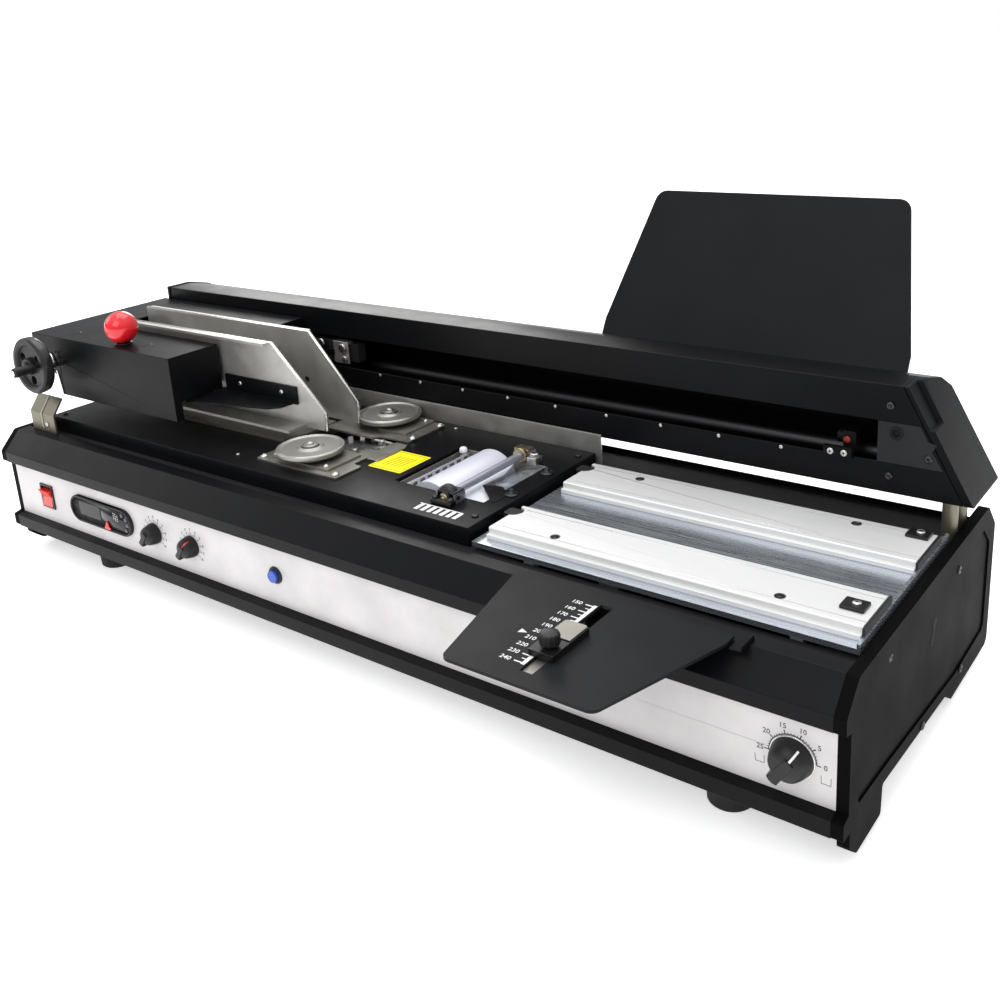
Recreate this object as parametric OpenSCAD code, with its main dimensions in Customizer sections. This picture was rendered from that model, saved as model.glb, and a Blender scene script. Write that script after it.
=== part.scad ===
// Tabletop hot-melt perfect binding machine: a clamp carriage runs along a rear beam, over a spine
// cutter and a glue roller, to a nip station that presses the cover onto the book.
// +X runs along the machine, +Y to its back, +Z up. The origin is on the surface it stands on,
// under the middle of its outer box.

/* [Base] */
// Overall length of the base
base_length = 1024; // [1000:1:1060]
// Thickness of each end plate
end_plate_t = 9; // [6:1:10]
// Height of the base's top edge
crest_z = 149.5; // [148:0.5:150]
// Height of the chassis floor above the table
pan_z = 34; // [34:1:36]
// Diameter of the rubber feet
foot_d = 39; // [30:1:45]
// Sheet thickness of rails and rear panel
sheet_t = 3; // [2:0.5:3]

/* [Deck] */
// Height of the deck cover's top face
deck_z = 162; // [160:1:163]
// Left edge of the deck
deck_left = -478; // [-490:1:-460]
// Right edge of the deck
deck_right = 160.5; // [158:0.5:162]
// Front edge of the deck
deck_front = 51; // [48:1:54]
// Back edge of the deck
deck_back = 251; // [248:1:252]
// Radius of the guide discs
guide_disc_r = 35; // [28:1:35]
// Radius of the glue roller
roller_r = 28; // [22:1:28]

/* [Beam] */
// Front face of the beam
beam_front = 260; // [259:1:262]
// Underside of the beam
beam_low = 175; // [170:1:175]
// Top of the beam
beam_top = 270; // [268:1:275]
// Radius of the carriage's guide shaft
shaft_r = 10; // [8:1:10]

/* [Carriage] */
// Left edge of the carriage cover
cover_left = -516; // [-520:1:-512]
// Right edge of the carriage cover
cover_right = -252; // [-254:1:-250]
// Top of the carriage cover
cover_top = 256; // [254:1:258]
// Opening between the clamp jaws
jaw_gap = 35; // [20:1:35]
// Radius of the handwheel
wheel_r = 33; // [26:1:33]
// Radius of the ball knob
ball_r = 18.2; // [15:0.2:20]

/* [Nip station] */
// Left end of the nip plates
nip_left = 174; // [172:1:180]
// Right end of the nip plates
nip_right = 498.5; // [490:0.5:498.5]
// Top of the nip plates
nip_top = 162; // [160:0.5:162]

/* [Trays] */
// Reach of the front tray ahead of the base
front_tray_reach = 109; // [90:1:120]
// Lean of the rear tray from upright, in degrees
rear_tray_lean = 30; // [10:1:35]
// Height of the rear tray along its slope
rear_tray_length = 168; // [120:1:200]

/* [Controls] */
// Height of the row of controls
control_z = 82; // [80:1:86]
// Radius of the small knobs
knob_r = 11.5; // [8:0.5:12]
// Radius of the thickness dial
dial_r = 15.5; // [12:0.5:16]

/* [Hidden] */

$fn = 64;

// Colours
black = [0.13, 0.13, 0.14];
dark_steel = [0.25, 0.25, 0.26];
silver_white = [0.86, 0.85, 0.84];
nickel = [0.66, 0.65, 0.61];
bright_aluminium = [0.88, 0.89, 0.9];
steel = [0.6, 0.61, 0.63];
red = [0.85, 0.1, 0.1];

// Radial clearances
running = 0.05;
thread_clearance = 0.1;

// Base
base_half = base_length / 2;
inner_half = base_half - end_plate_t;
fascia_y = 9;
fascia_t = 2;
rail_low_z = 116;
rear_y = 348;
well_back_y = 302;
foot_xs = [-374, 410];
foot_ys = [42, 300];

// Chassis top plate and what it carries
top_plate_t = 3;
top_plate_z = 144;
post_xs = [185, 485];
post_ys = [62, 232];
post_r = 7;

// Milling and guide station
cutter_x = -80;
path_y = 160;
cutter_r = 33;
guide_x = -86;
guide_front_y = 102;
guide_rear_y = 219;
guide_plate_z = deck_z;
slider_plate_z = guide_plate_z + 2;
spindle_r = 5;

// Glue station
roller_x = 72;
roller_z = 139;
roller_shaft_r = 6;
tank_low = [18, 92, 92];
tank_high = [150, 212, 150];
wall = 8;
motor_face_y = 216;

// Beam
beam_left = -506;
beam_back = 336;
beam_section = [
    [beam_front, beam_low], [beam_front, beam_top], [292, beam_top],
    [324, 262], [beam_back, 252], [beam_back, beam_low]
];
beam_cavity = [
    [263, 178], [263, 267], [291.6, 267], [322.6, 259.2], [333, 250.6], [333, 178]
];
slant_low_x = 516;
slant_per_mm = 0.5535;
beam_cap_t = 8;
slot_low = 202;
slot_high = 238;
slot_left = -490;
slot_right = 436;
shaft_y = 298;
shaft_z = 195;
support_right = 455;
support_t = 14;

// Carriage
cover_front = 66;
cover_back = 257;
cover_t = 2;
cover_low = 205;
front_wall_low = 185;
throat_left = -447;
throat_front = 131;
throat_back = 182;
frame_top = 214;
frame_t = 6;
jaw_left = -438;
jaw_t = 4;
rear_jaw_y = 175;
front_jaw_y = rear_jaw_y - jaw_gap - jaw_t;
screw_x = -471;
screw_z = 228.5;
screw_r = 6;
guide_rod_xs = [-400, -300];
guide_rod_z = 228.5;
guide_rod_r = 7;
yoke_t = 18;
yoke_front = front_jaw_y - yoke_t;
handle_offset = [18, 2];
// Front face of the handwheel, and of its handle
wheel_y = 30.5;
handle_y = 1.5;
ball_centre = [-357, 85, cover_top + ball_r + 0.4];

// Nip station
platform_z = 148;
platform_t = 4.5;
platform_top = platform_z + platform_t;
leg_xs = [216, 452];
leg_front = 60;
leg_back = 67;
nip_screw_x = 300;
nip_screw_z = 114;
lift_x = 334;
lift_y = 147;

// Trays
front_tray_z = 152.2;
tray_t = 2.5;
slot_x = 327;
slider_y = -65;
rear_tray_y = 340;
rear_tray_z = 250;

// Controls
rocker_x = -441.5;
rocker_z = 81.5;
rocker_pivot_y = 13;
controller_x = -333;
lap_x = -238;
clamp_x = -176.5;
button_x = -49.5;
speed_x = 207;
dial_x = 471.7;
dial_z = 80.5;

knob_places = [[lap_x, control_z], [clamp_x, control_z], [speed_x, control_z], [dial_x, dial_z]];

// The outer box runs from the front tray's edge to the rear tray's top edge
outer_front_y = -front_tray_reach;
outer_back_y = rear_tray_y + rear_tray_length * sin(rear_tray_lean) + tray_t * cos(rear_tray_lean);
origin_y = (outer_front_y + outer_back_y) / 2;

// ---- Helpers ----

// Moves geometry written with y = 0 at the rails' front face into the part's own frame
module centred() translate([0, -origin_y, 0]) children();

// A box between two opposite corners
module block(low, high) translate(low) cube(high - low);

// Extrudes a (y, z) outline along X
module along_x(x0, x1) translate([x0, 0, 0]) rotate([90, 0, 90]) linear_extrude(x1 - x0) children();

// Extrudes an (x, z) outline along Y
module along_y(y0, y1) translate([0, y1, 0]) rotate([90, 0, 0]) linear_extrude(y1 - y0) children();

module rod_x(r, x0, x1, y, z) translate([x0, y, z]) rotate([0, 90, 0]) cylinder(r = r, h = x1 - x0);
module rod_y(r, y0, y1, x, z) translate([x, y0, z]) rotate([-90, 0, 0]) cylinder(r = r, h = y1 - y0);
module rod_z(r, z0, z1, x, y) translate([x, y, z0]) cylinder(r = r, h = z1 - z0);

function unit(v) = v / norm(v);

// Points of the arc that rounds corner b, between its neighbours a and c
function corner_arc(a, b, c, r, steps) =
    let (
        u = unit(a - b), w = unit(c - b), half = acos(u * w) / 2,
        centre = b + unit(u + w) * r / sin(half),
        from = b + u * r / tan(half) - centre, to = b + w * r / tan(half) - centre,
        start = atan2(from[1], from[0]), sweep = (atan2(to[1], to[0]) - start + 900) % 360 - 180
    )
    [for (i = [0:steps]) centre + r * [cos(start + sweep * i / steps), sin(start + sweep * i / steps)]];

// An outline with each corner rounded to its own radius; a radius of 0 leaves it sharp
function rounded(points, radii, steps = 5) =
    let (n = len(points))
    [for (i = [0:n - 1]) each radii[i] > 0
        ? corner_arc(points[(i + n - 1) % n], points[i], points[(i + 1) % n], radii[i], steps)
        : [points[i]]];

// ---- Base ----

module end_plate_outline() polygon(rounded(
    [[0, 34], [0, 48], [fascia_y, 50], [fascia_y, 114], [0, rail_low_z], [0, 128.5], [21, crest_z],
     [328, crest_z], [352, 125.5], [350, 8], [243, 8], [229, 20], [76, 32], [74, 8], [26, 8], [12, 20],
     [12, 34]],
    [2, 2, 0, 0, 2, 4, 4, 4, 4, 8, 4, 6, 3, 3, 8, 6, 0]));

module end_plate_panel() polygon(rounded(
    [[26, 48], [26, 116], [40, 133], [316, 133], [336, 114], [334, 30], [250, 28], [86, 44]],
    [4, 4, 6, 6, 6, 8, 8, 8]));

// One end plate, its outer face towards side * X, with a shallow recessed panel
module end_plate(side) {
    panel_depth = 1.5;
    outer = side * base_half;
    inner = side * inner_half;
    difference() {
        along_x(min(outer, inner), max(outer, inner)) end_plate_outline();
        along_x(min(outer - side * panel_depth, outer + side), max(outer - side * panel_depth, outer + side))
            end_plate_panel();
    }
}

module left_end_plate() color(black) centred() end_plate(-1);

module right_end_plate() color(black) centred() end_plate(1);

module front_rails() color(black) centred() {
    along_x(-inner_half, inner_half) polygon([
        [0, rail_low_z], [0, 128.5], [21, crest_z], [36, crest_z], [36, crest_z - sheet_t],
        [22.2, crest_z - sheet_t], [sheet_t, 127.3], [sheet_t, rail_low_z + sheet_t],
        [fascia_y + fascia_t, rail_low_z + sheet_t], [fascia_y + fascia_t, rail_low_z]
    ]);
    along_x(-inner_half, inner_half) polygon([
        [0, pan_z], [0, 48], [fascia_y, 50], [fascia_y + fascia_t, 50], [fascia_y + fascia_t, 47],
        [sheet_t, 45.5], [sheet_t, pan_z + sheet_t], [20, pan_z + sheet_t], [20, pan_z]
    ]);
}

module stadium(length, height) hull()
    for (side = [-1, 1]) translate([side * (length - height) / 2, 0]) circle(d = height);

module fascia_panel() color(silver_white) centred() {
    hole_back = fascia_y + fascia_t + 1;
    hole_front = fascia_y - 1;
    shaft_hole_r = 3.5;
    difference() {
        block([-inner_half, fascia_y, 50], [inner_half, fascia_y + fascia_t, rail_low_z]);
        block([rocker_x - 11, hole_front, rocker_z - 13.5], [rocker_x + 11, hole_back, rocker_z + 13.5]);
        block([controller_x - 50, hole_front, control_z - 11], [controller_x + 50, hole_back, control_z + 11]);
        for (p = knob_places) rod_y(shaft_hole_r, hole_front, hole_back, p[0], p[1]);
        rod_y(6.4, hole_front, hole_back, button_x, control_z);
    }
}

// Floor pan with three welded bulkheads
module base_chassis() color(dark_steel) centred() {
    floor_top = pan_z + sheet_t;
    block([-inner_half, 20, pan_z], [inner_half, rear_y - sheet_t, floor_top]);
    for (x = [-253, 5, 156]) block([x, 24, floor_top], [x + sheet_t, 296, top_plate_z - top_plate_t]);
}

module rear_panel() color(black) centred() difference() {
    along_x(-inner_half, inner_half) polygon([
        [rear_y, pan_z], [rear_y, 124], [well_back_y, 149], [well_back_y, top_plate_z],
        [well_back_y + sheet_t, top_plate_z], [rear_y - sheet_t, 122.2], [rear_y - sheet_t, pan_z]
    ]);
    // Ventilation slots
    for (x = [-440:16:-280]) block([x, rear_y - 5, 62], [x + 8, rear_y + 2, 100]);
}

module rubber_feet() color([0.08, 0.08, 0.08]) centred()
    for (x = foot_xs, y = foot_ys) translate([x, y, 0]) rotate_extrude() polygon([
        [0, 0], [foot_d / 2 - 3, 0], [foot_d / 2 - 1, 2], [foot_d / 2, 22], [foot_d / 2 - 3, 25],
        [14, 25], [14, pan_z], [0, pan_z]
    ]);

// Plate under the deck and the nip station, with the lift's bushes welded in
module chassis_top_plate() color(dark_steel) centred() {
    low = top_plate_z - top_plate_t;
    bush_r = 13;
    difference() {
        union() {
            block([-inner_half, 22, low], [inner_half, 304, top_plate_z]);
            for (x = post_xs, y = post_ys) rod_z(bush_r, 100, low, x, y);
        }
        block([14, 78, low - 1], [154, 250, top_plate_z + 1]);
        block([200, 51, low - 1], [470, 240, top_plate_z + 1]);
        rod_z(10, low - 1, top_plate_z + 1, cutter_x, path_y);
        for (x = post_xs, y = post_ys) rod_z(post_r + running, 99, top_plate_z + 1, x, y);
    }
}

// ---- Deck, milling and glue ----

module deck_cover() color(black) centred() {
    skin = 3;
    difference() {
        block([deck_left, deck_front, top_plate_z], [deck_right, deck_back, deck_z]);
        block([deck_left + skin, deck_front + skin, top_plate_z - 1],
              [deck_right - skin, deck_back - skin, deck_z - skin]);
        block([cutter_x - 40, 124, deck_z - 5], [cutter_x + 40, 196, deck_z + 1]);
        block([30, 101, deck_z - 5], [138, 202, deck_z + 1]);
    }
}

module deck_fence() color(nickel) centred()
    block([deck_left + 4, 255.5, top_plate_z], [164, 257.5, 179.5]);

// Bent strip that the parked carriage stands behind
module parking_bracket() color(nickel) centred() along_x(-490, -442) polygon([
    [33, crest_z], [33, 172], [47, 190], [49, 188.5], [35.5, 171.2], [35.5, crest_z]
]);

module glue_tank() color(steel) centred() difference() {
    union() {
        block(tank_low, tank_high);
        block([9, 86, top_plate_z], [156, 215, tank_high[2]]);
    }
    block([tank_low[0] + wall, tank_low[1] + wall, tank_low[2] + 12],
          [tank_high[0] - wall, tank_high[1] - wall, tank_high[2] + 1]);
    rod_y(roller_shaft_r + running, 80, 220, roller_x, roller_z);
}

module tank_heater() color([0.7, 0.68, 0.62]) centred()
    block([24, 98, tank_low[2] - 8], [144, 206, tank_low[2]]);

module glue_roller() color(bright_aluminium) centred() {
    rod_y(roller_r, 104, 200, roller_x, roller_z);
    rod_y(roller_shaft_r, 84, 226, roller_x, roller_z);
}

// Right-angle gear motor on the roller's shaft
module roller_motor() color(dark_steel) centred() difference() {
    union() {
        block([roller_x - 20, motor_face_y, 98], [roller_x + 20, 244, 158]);
        rod_z(20, 44, 98, roller_x, 238);
    }
    rod_y(roller_shaft_r + running, motor_face_y - 1, 228, roller_x, roller_z);
}

// Rod across the glue window, with the bracket at each end
module wiper_rod() color([0.35, 0.34, 0.33]) centred() {
    rod_y(4, 88, 208, 106, deck_z + 4.6);
    block([97, 84, deck_z], [118, 100, 171]);
    block([97, 203, deck_z], [115, 214, 170]);
}

// Notched scraper that levels the glue after the roller
module scraper_plate() color([0.93, 0.93, 0.95]) centred() {
    outline = [
        [96, 111], [96, 197], [99.5, 197], [107, 171], [104.5, 142], [130, 119.5], [137, 119.5], [137, 108],
        [112, 108]
    ];
    translate([0, 0, 156]) linear_extrude(1.5) polygon(outline);
    block([133, 108, 150], [137, 196, 156.5]);
}

module milling_cutter() color(steel) centred() {
    teeth = 12;
    rod_z(cutter_r, 151, 156, cutter_x, path_y);
    for (i = [0:teeth - 1]) translate([cutter_x, path_y, 156]) rotate(i * 360 / teeth)
        translate([cutter_r - 9, -2.5, 0]) cube([8, 5, 4]);
    rod_z(6, 121, 151, cutter_x, path_y);
}

// The cutter's motor and the lift's motor
module upright_motors() color(dark_steel) centred() {
    difference() {
        rod_z(34, 66, top_plate_z - top_plate_t, cutter_x, path_y);
        rod_z(6 + running, 120, top_plate_z, cutter_x, path_y);
    }
    difference() {
        rod_z(30, pan_z + sheet_t, 66, lift_x, lift_y);
        rod_z(screw_r + running, 50, 67, lift_x, lift_y);
    }
}

// Flat plates fixed to the deck: one under each guide, and the levelling plate under the jaws
module guide_base_plates() color(nickel) centred() {
    translate([0, 0, guide_plate_z]) linear_extrude(2) {
        polygon(rounded([[-136, 72], [-21, 72], [-21, 108], [-33, 108], [-33, 131], [-136, 131]],
                        [3, 3, 2, 4, 3, 3]));
        polygon(rounded([[-140, 173], [-72, 173], [-66, 181], [-25, 181], [-25, 241], [-140, 241]],
                        [3, 5, 5, 3, 3, 3]));
    }
    translate([0, 0, deck_z]) linear_extrude(3.5)
        polygon([[-349, 139], [-318, 118], [-148, 121], [-140.2, 146], [-140.2, 190], [-349, 190]]);
}

// Sliding plate with the spindle of one guide disc; towards is the direction of the book, along Y
module guide_slider(y, towards) {
    plate_t = 2.3;
    inner = y + towards * 26;
    outer = y - towards * 22;
    translate([guide_x, 0, slider_plate_z]) linear_extrude(plate_t)
        polygon(rounded([[-38, outer], [46, outer], [46, inner], [6, inner], [0, inner - towards * 7],
                         [-38, inner - towards * 7]], [3, 3, 3, 3, 3, 3]));
    rod_z(spindle_r, slider_plate_z + plate_t, 176.3, guide_x, y);
    rod_z(8.5, 176.3, 177.4, guide_x, y);
}

module guide_slider_front() color(nickel) centred() guide_slider(guide_front_y, 1);

module guide_slider_rear() color(nickel) centred() guide_slider(guide_rear_y, -1);

// Turned disc with a raised rim and hub
module guide_disc(y) translate([guide_x, y, 0]) rotate_extrude($fn = 96) polygon([
    [spindle_r + running, 168.5], [14, 168.5], [16, 170], [guide_disc_r - 2, 170], [guide_disc_r, 172],
    [guide_disc_r, 175], [guide_disc_r - 1, 176], [guide_disc_r - 3.5, 176], [guide_disc_r - 5, 174.6],
    [14, 174.6], [12.5, 176], [spindle_r + running, 176]
]);

module guide_disc_front() color(nickel) centred() guide_disc(guide_front_y);

module guide_disc_rear() color(nickel) centred() guide_disc(guide_rear_y);

// ---- Beam ----

function slant_x(z, inset = 0) = slant_low_x - inset - (z - beam_low) * slant_per_mm;

// Side view of the beam's volume, in (x, z), up to the slanted right end
module beam_side_view(left, inset) polygon([
    [left, beam_low - 5], [slant_x(beam_low - 5, inset), beam_low - 5],
    [slant_x(beam_top + 5, inset), beam_top + 5], [left, beam_top + 5]
]);

module beam_housing() color(black) centred() difference() {
    intersection() {
        along_x(beam_left, base_half + 20) polygon(beam_section);
        along_y(beam_front - 10, beam_back + 10) beam_side_view(beam_left, beam_cap_t);
    }
    along_x(beam_left - 1, base_half + 30) polygon(beam_cavity);
    block([slot_left, beam_front - 1, slot_low], [slot_right, beam_front + 4, slot_high]);
}

// Folded left cap and the thicker, slanted right cap, which has a step at its front top corner
module beam_caps() color(black) centred() {
    along_x(-base_half, beam_left) polygon([
        [beam_front - 1, beam_low - 1], [beam_front - 1, beam_top + 1], [292.5, beam_top + 1],
        [324.5, 263], [beam_back + 1, 252.5], [beam_back + 1, beam_low - 1]
    ]);
    difference() {
        intersection() {
            along_x(400, base_half + 20) polygon(beam_section);
            along_y(beam_front - 10, beam_back + 10) polygon([
                [slant_x(beam_low, beam_cap_t), beam_low], [slant_x(beam_low), beam_low],
                [slant_x(beam_top), beam_top], [slant_x(beam_top, beam_cap_t), beam_top]
            ]);
        }
        along_y(beam_front - 11, 283) polygon([
            [slant_x(236, 4), 236], [slant_x(236) + 5, 236], [slant_x(280) + 5, 280], [slant_x(280, 4), 280]
        ]);
    }
}

module beam_posts() color(nickel) centred()
    for (x = [-496, 496], y = [268, 294]) rod_z(6.5, top_plate_z, beam_low, x, y);

// Stop for the carriage at the right end of the slot, with its rubber buffer
module travel_stop() color(black) centred() {
    block([391, beam_front - 4, 200.5], [416, beam_front, 210]);
    block([405, beam_front - 4, slot_low], [416, 280, 208]);
    block([405, 266, slot_low], [416, 280, 222]);
    rod_x(6, 399, 405, 273, slot_low + 13);
}

module guide_shaft() color(steel) centred() rod_x(shaft_r, beam_left, support_right, shaft_y, shaft_z);

module shaft_supports() color(dark_steel) centred()
    for (x = [beam_left, support_right - support_t]) difference() {
        block([x, 282, 178], [x + support_t, 314, slot_low + 6]);
        rod_x(shaft_r, x - 1, x + support_t + 1, shaft_y, shaft_z);
    }

// ---- Trays ----

// Leaning plate behind the beam, with the flange that holds it to the beam's back
module rear_tray() color(black) centred() {
    outline = [[113, -5], [432, -5], [432, 22], [403, rear_tray_length], [139.5, rear_tray_length], [113, 24]];
    translate([0, rear_tray_y, rear_tray_z]) rotate([-rear_tray_lean, 0, 0])
        translate([0, tray_t, 0]) rotate([90, 0, 0]) linear_extrude(tray_t)
        polygon(rounded(outline, [0, 0, 8, 12, 12, 8]));
    block([150, beam_back, 205], [395, beam_back + tray_t, rear_tray_z - 2]);
}

// Flat plate ahead of the nip station, slotted for its stop, with its wall bracket and gussets
module front_tray() color(black) centred() {
    wall_t = 3;
    outline = [[235, 18], [424, 20], [424, 6], [390, -front_tray_reach], [265, -front_tray_reach]];
    translate([0, 0, front_tray_z]) linear_extrude(tray_t) difference() {
        polygon(rounded(outline, [2, 2, 2, 8, 8]));
        translate([slot_x - 5, -94]) square([10.5, 102]);
    }
    for (x = [[262, 314], [341, 372]])
        block([x[0], -wall_t, 117], [x[1], 0, front_tray_z]);
    for (x = [262, 369]) along_x(x, x + wall_t)
        polygon([[-wall_t, front_tray_z], [-58, front_tray_z], [-wall_t, 119]]);
}

module tray_slider() color(black) centred() {
    tray_top = front_tray_z + tray_t;
    difference() {
        union() {
            block([316, -76, tray_top], [337, -31, tray_top + 5]);
            block([slot_x - 4, slider_y - 5, front_tray_z - 0.2], [slot_x + 4.5, slider_y + 5, tray_top]);
            block([slot_x - 8, -97, front_tray_z - 3], [slot_x + 8, -58, front_tray_z - 0.2]);
        }
        rod_z(3 + running, front_tray_z - 4, tray_top + 6, slot_x, slider_y);
    }
}

module slider_knob() color(black) centred() {
    tray_top = front_tray_z + tray_t;
    rod_z(3, front_tray_z - 3, tray_top + 6, slot_x, slider_y);
    rod_z(6, tray_top + 5.3, tray_top + 8, slot_x, slider_y);
    rod_z(9, tray_top + 8, tray_top + 18, slot_x, slider_y);
}

// ---- Carriage ----

module carriage_cover() color(black) centred() difference() {
    union() {
        block([cover_left, cover_front, cover_top - cover_t], [cover_right, cover_back, cover_top]);
        block([cover_left, cover_front, front_wall_low], [cover_right, cover_front + cover_t, cover_top]);
        block([cover_left, cover_front, cover_low], [cover_left + cover_t, cover_back, cover_top]);
        block([cover_right - cover_t, cover_front, cover_low], [cover_right, throat_front, cover_top]);
        block([cover_right - cover_t, cover_front, front_wall_low], [cover_right, cover_front + 10, cover_low]);
        block([cover_right - cover_t, throat_back, cover_low], [cover_right, cover_back, cover_top]);
    }
    block([throat_left, throat_front, cover_top - 5], [cover_right + 1, throat_back, cover_top + 1]);
    // Lower left corner of the front wall, cut away to pass the parking bracket
    along_y(cover_front - 1, cover_front + cover_t + 1) polygon([
        [cover_left - 1, front_wall_low - 1], [-468, front_wall_low - 1], [-474, 208], [-492, 214],
        [cover_left - 1, 214]
    ]);
    rod_y(8, cover_front - 1, cover_front + 5, screw_x, screw_z);
}

// Base plate of the carriage: open to the right for the jaws, with the screw's bearing, the jaw's
// guide bushes, and the pillars that hold the cover
module carriage_frame() color(dark_steel) centred() {
    plate_low = frame_top - frame_t;
    pillar_r = 4;
    difference() {
        block([-500, 72, plate_low], [-262, 250, frame_top]);
        block([throat_left, throat_front, plate_low - 1], [-261, throat_back + 2, frame_top + 1]);
    }
    difference() {
        block([screw_x - 16, 72, frame_top], [screw_x + 16, 86, screw_z + 15]);
        rod_y(screw_r + running, 71, 87, screw_x, screw_z);
    }
    for (x = guide_rod_xs) difference() {
        block([x - 12, 88, frame_top], [x + 12, 112, guide_rod_z + 12]);
        rod_y(guide_rod_r + running, 87, 113, x, guide_rod_z);
    }
    for (x = [-470, -320]) block([x, 236, frame_top], [x + 50, 250, 230]);
    for (p = [[-494, 110], [-494, 220], [-270, 95], [-270, 225]])
        rod_z(pillar_r, frame_top, cover_top - cover_t, p[0], p[1]);
}

// Bearing blocks on the guide shaft, the bar that joins them, and the arms through the beam's slot
module carriage_truck() color(dark_steel) centred() difference() {
    union() {
        for (x = [-470, -320]) {
            block([x, 279, 181], [x + 50, 316, 212]);
            block([x, 250, 208], [x + 50, 266, 230]);
        }
        block([-480, 265, 205], [-200, 281, 231]);
        block([-200, 265, 208], [-172, 277, 230]);
    }
    rod_x(shaft_r + running, -481, -200, shaft_y, shaft_z);
}

// A clamp jaw's plate, in (x, z)
module jaw_outline(low, high, shoulder_x, tip_x, tip_z) polygon(rounded(
    [[jaw_left, low], [jaw_left, high], [shoulder_x, high], [tip_x, tip_z], [tip_x - 2, low]],
    [0, 2, 5, 3, 5]));

module rear_jaw() color(nickel) centred() {
    back = rear_jaw_y + jaw_t;
    along_y(rear_jaw_y, back) jaw_outline(176, 270, -153, -88, 200);
    block([jaw_left + 2, back, 267], [-157, back + 4, 270]);
    block([-430, back, frame_top], [-280, back + 21, frame_top + 3]);
}

module front_jaw() color(nickel) centred() {
    along_y(front_jaw_y, front_jaw_y + jaw_t) jaw_outline(178, 265, -169, -96, 198);
    block([jaw_left + 2, front_jaw_y - 6, 262], [-174, front_jaw_y, 265]);
    block([-430, front_jaw_y - 24, 178], [-128, front_jaw_y, 181]);
}

// Bar that carries the lead screw's nut and the jaw's two guide rods
module jaw_yoke() color(dark_steel) centred() difference() {
    union() {
        block([-486, yoke_front, 217], [-285, front_jaw_y, 243]);
        for (x = guide_rod_xs) rod_y(guide_rod_r, 70, yoke_front, x, guide_rod_z);
    }
    rod_y(screw_r + thread_clearance, yoke_front - 1, front_jaw_y + 1, screw_x, screw_z);
}

// Folded shelf on the front jaw
module jaw_shelf() color(black) centred() {
    shelf_z = 202;
    translate([0, 0, shelf_z]) linear_extrude(2)
        polygon([[-258, front_jaw_y], [-258, 84], [-153, 108], [-143, 117], [-141, front_jaw_y]]);
    block([-250, front_jaw_y - 2, shelf_z], [-135, front_jaw_y, 221.5]);
}

module lead_screw() color(steel) centred() {
    rod_y(screw_r, wheel_y, 172, screw_x, screw_z);
    rod_y(9, 52, 65.5, screw_x, screw_z);
}

module handwheel() color(black) centred() difference() {
    translate([screw_x, wheel_y, screw_z]) rotate([-90, 0, 0]) difference() {
        rotate_extrude($fn = 96) polygon([
            [0, -2], [9, -2], [10, 0], [10, 4], [24, 4], [25, 1.5], [27, 0], [wheel_r - 2, 0], [wheel_r, 2],
            [wheel_r, 12], [wheel_r - 2, 14], [27, 14], [25, 11], [11, 11], [11, 18], [0, 18]
        ]);
        for (a = [90, 210, 330]) rotate(a) translate([17.5, 0, -1]) cylinder(r = 5.5, h = 20);
    }
    rod_y(screw_r, wheel_y - 0.1, 60, screw_x, screw_z);
    rod_y(2.5 + running, 25, 60, screw_x + handle_offset[0], screw_z + handle_offset[1]);
}

module crank_handle() color(black) centred() {
    x = screw_x + handle_offset[0];
    z = screw_z + handle_offset[1];
    rod_y(2.5, wheel_y - 4, wheel_y + 13, x, z);
    translate([x, handle_y, z]) rotate([-90, 0, 0]) rotate_extrude($fn = 48) polygon([
        [0, 0], [4, 0], [5.5, 1.5], [6, 6], [4.8, 25], [0, 25]
    ]);
}

module red_ball_knob() color(red) centred() {
    translate(ball_centre) sphere(r = ball_r, $fn = 96);
    rod_z(6, cover_top, cover_top + 6, ball_centre[0], ball_centre[1]);
}

// ---- Nip station ----

// Lifting table: guide posts, the lift's nut, and the hangers of the nip screw
module platform() color(bright_aluminium) centred() difference() {
    union() {
        block([166, 48, platform_z], [502, 246, platform_top]);
        block([499.5, 48, platform_top], [502, 246, platform_top + 3.5]);
        for (x = post_xs, y = post_ys) rod_z(post_r, 70, platform_z, x, y);
        rod_z(15, 118, platform_z, lift_x, lift_y);
        block([nip_screw_x - 9, 52, 104], [nip_screw_x + 9, 58, platform_z]);
        block([nip_screw_x - 9, 186, 104], [nip_screw_x + 9, 194, platform_z]);
    }
    rod_z(screw_r + thread_clearance, 117, platform_z - 1, lift_x, lift_y);
    for (x = leg_xs) block([x - 6, leg_front - 1, platform_z - 1], [x + 6, leg_back + 49, platform_top + 1]);
    rod_y(screw_r + running, 51, 195, nip_screw_x, nip_screw_z);
}

// Stepped section of a nip plate between two y values
module nip_section(y0, y1) polygon([
    [y0, platform_top], [y0, 156.5], [y0 + 4, 156.5], [y0 + 4, nip_top - 1], [y0 + 5, nip_top],
    [y1 - 5, nip_top], [y1 - 4, nip_top - 1], [y1 - 4, 156.5], [y1, 156.5], [y1, platform_top]
]);

// Notch that rounds off a nip plate's left end
module nip_notch(y) rod_z(9, platform_top - 1, nip_top + 1, nip_left - 1, y);

module front_nip_plate() color(bright_aluminium) centred() difference() {
    union() {
        along_x(nip_left, nip_right) nip_section(58, 117);
        for (x = leg_xs) block([x - 5, leg_front, 108], [x + 5, leg_back, platform_top]);
        block([leg_xs[0] - 5, leg_front, 108], [leg_xs[1] + 5, leg_back, 118]);
        block([nip_screw_x - 12, leg_front, 102], [nip_screw_x + 12, leg_back, 126]);
    }
    nip_notch(100);
    rod_y(screw_r + thread_clearance, leg_front - 1, leg_back + 1, nip_screw_x, nip_screw_z);
}

module rear_nip_plate() color(bright_aluminium) centred() difference() {
    along_x(nip_left, nip_right) nip_section(170, 231.5);
    nip_notch(214);
}

module nip_screw() color(steel) centred() rod_y(screw_r, 48, 200, nip_screw_x, nip_screw_z);

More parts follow.
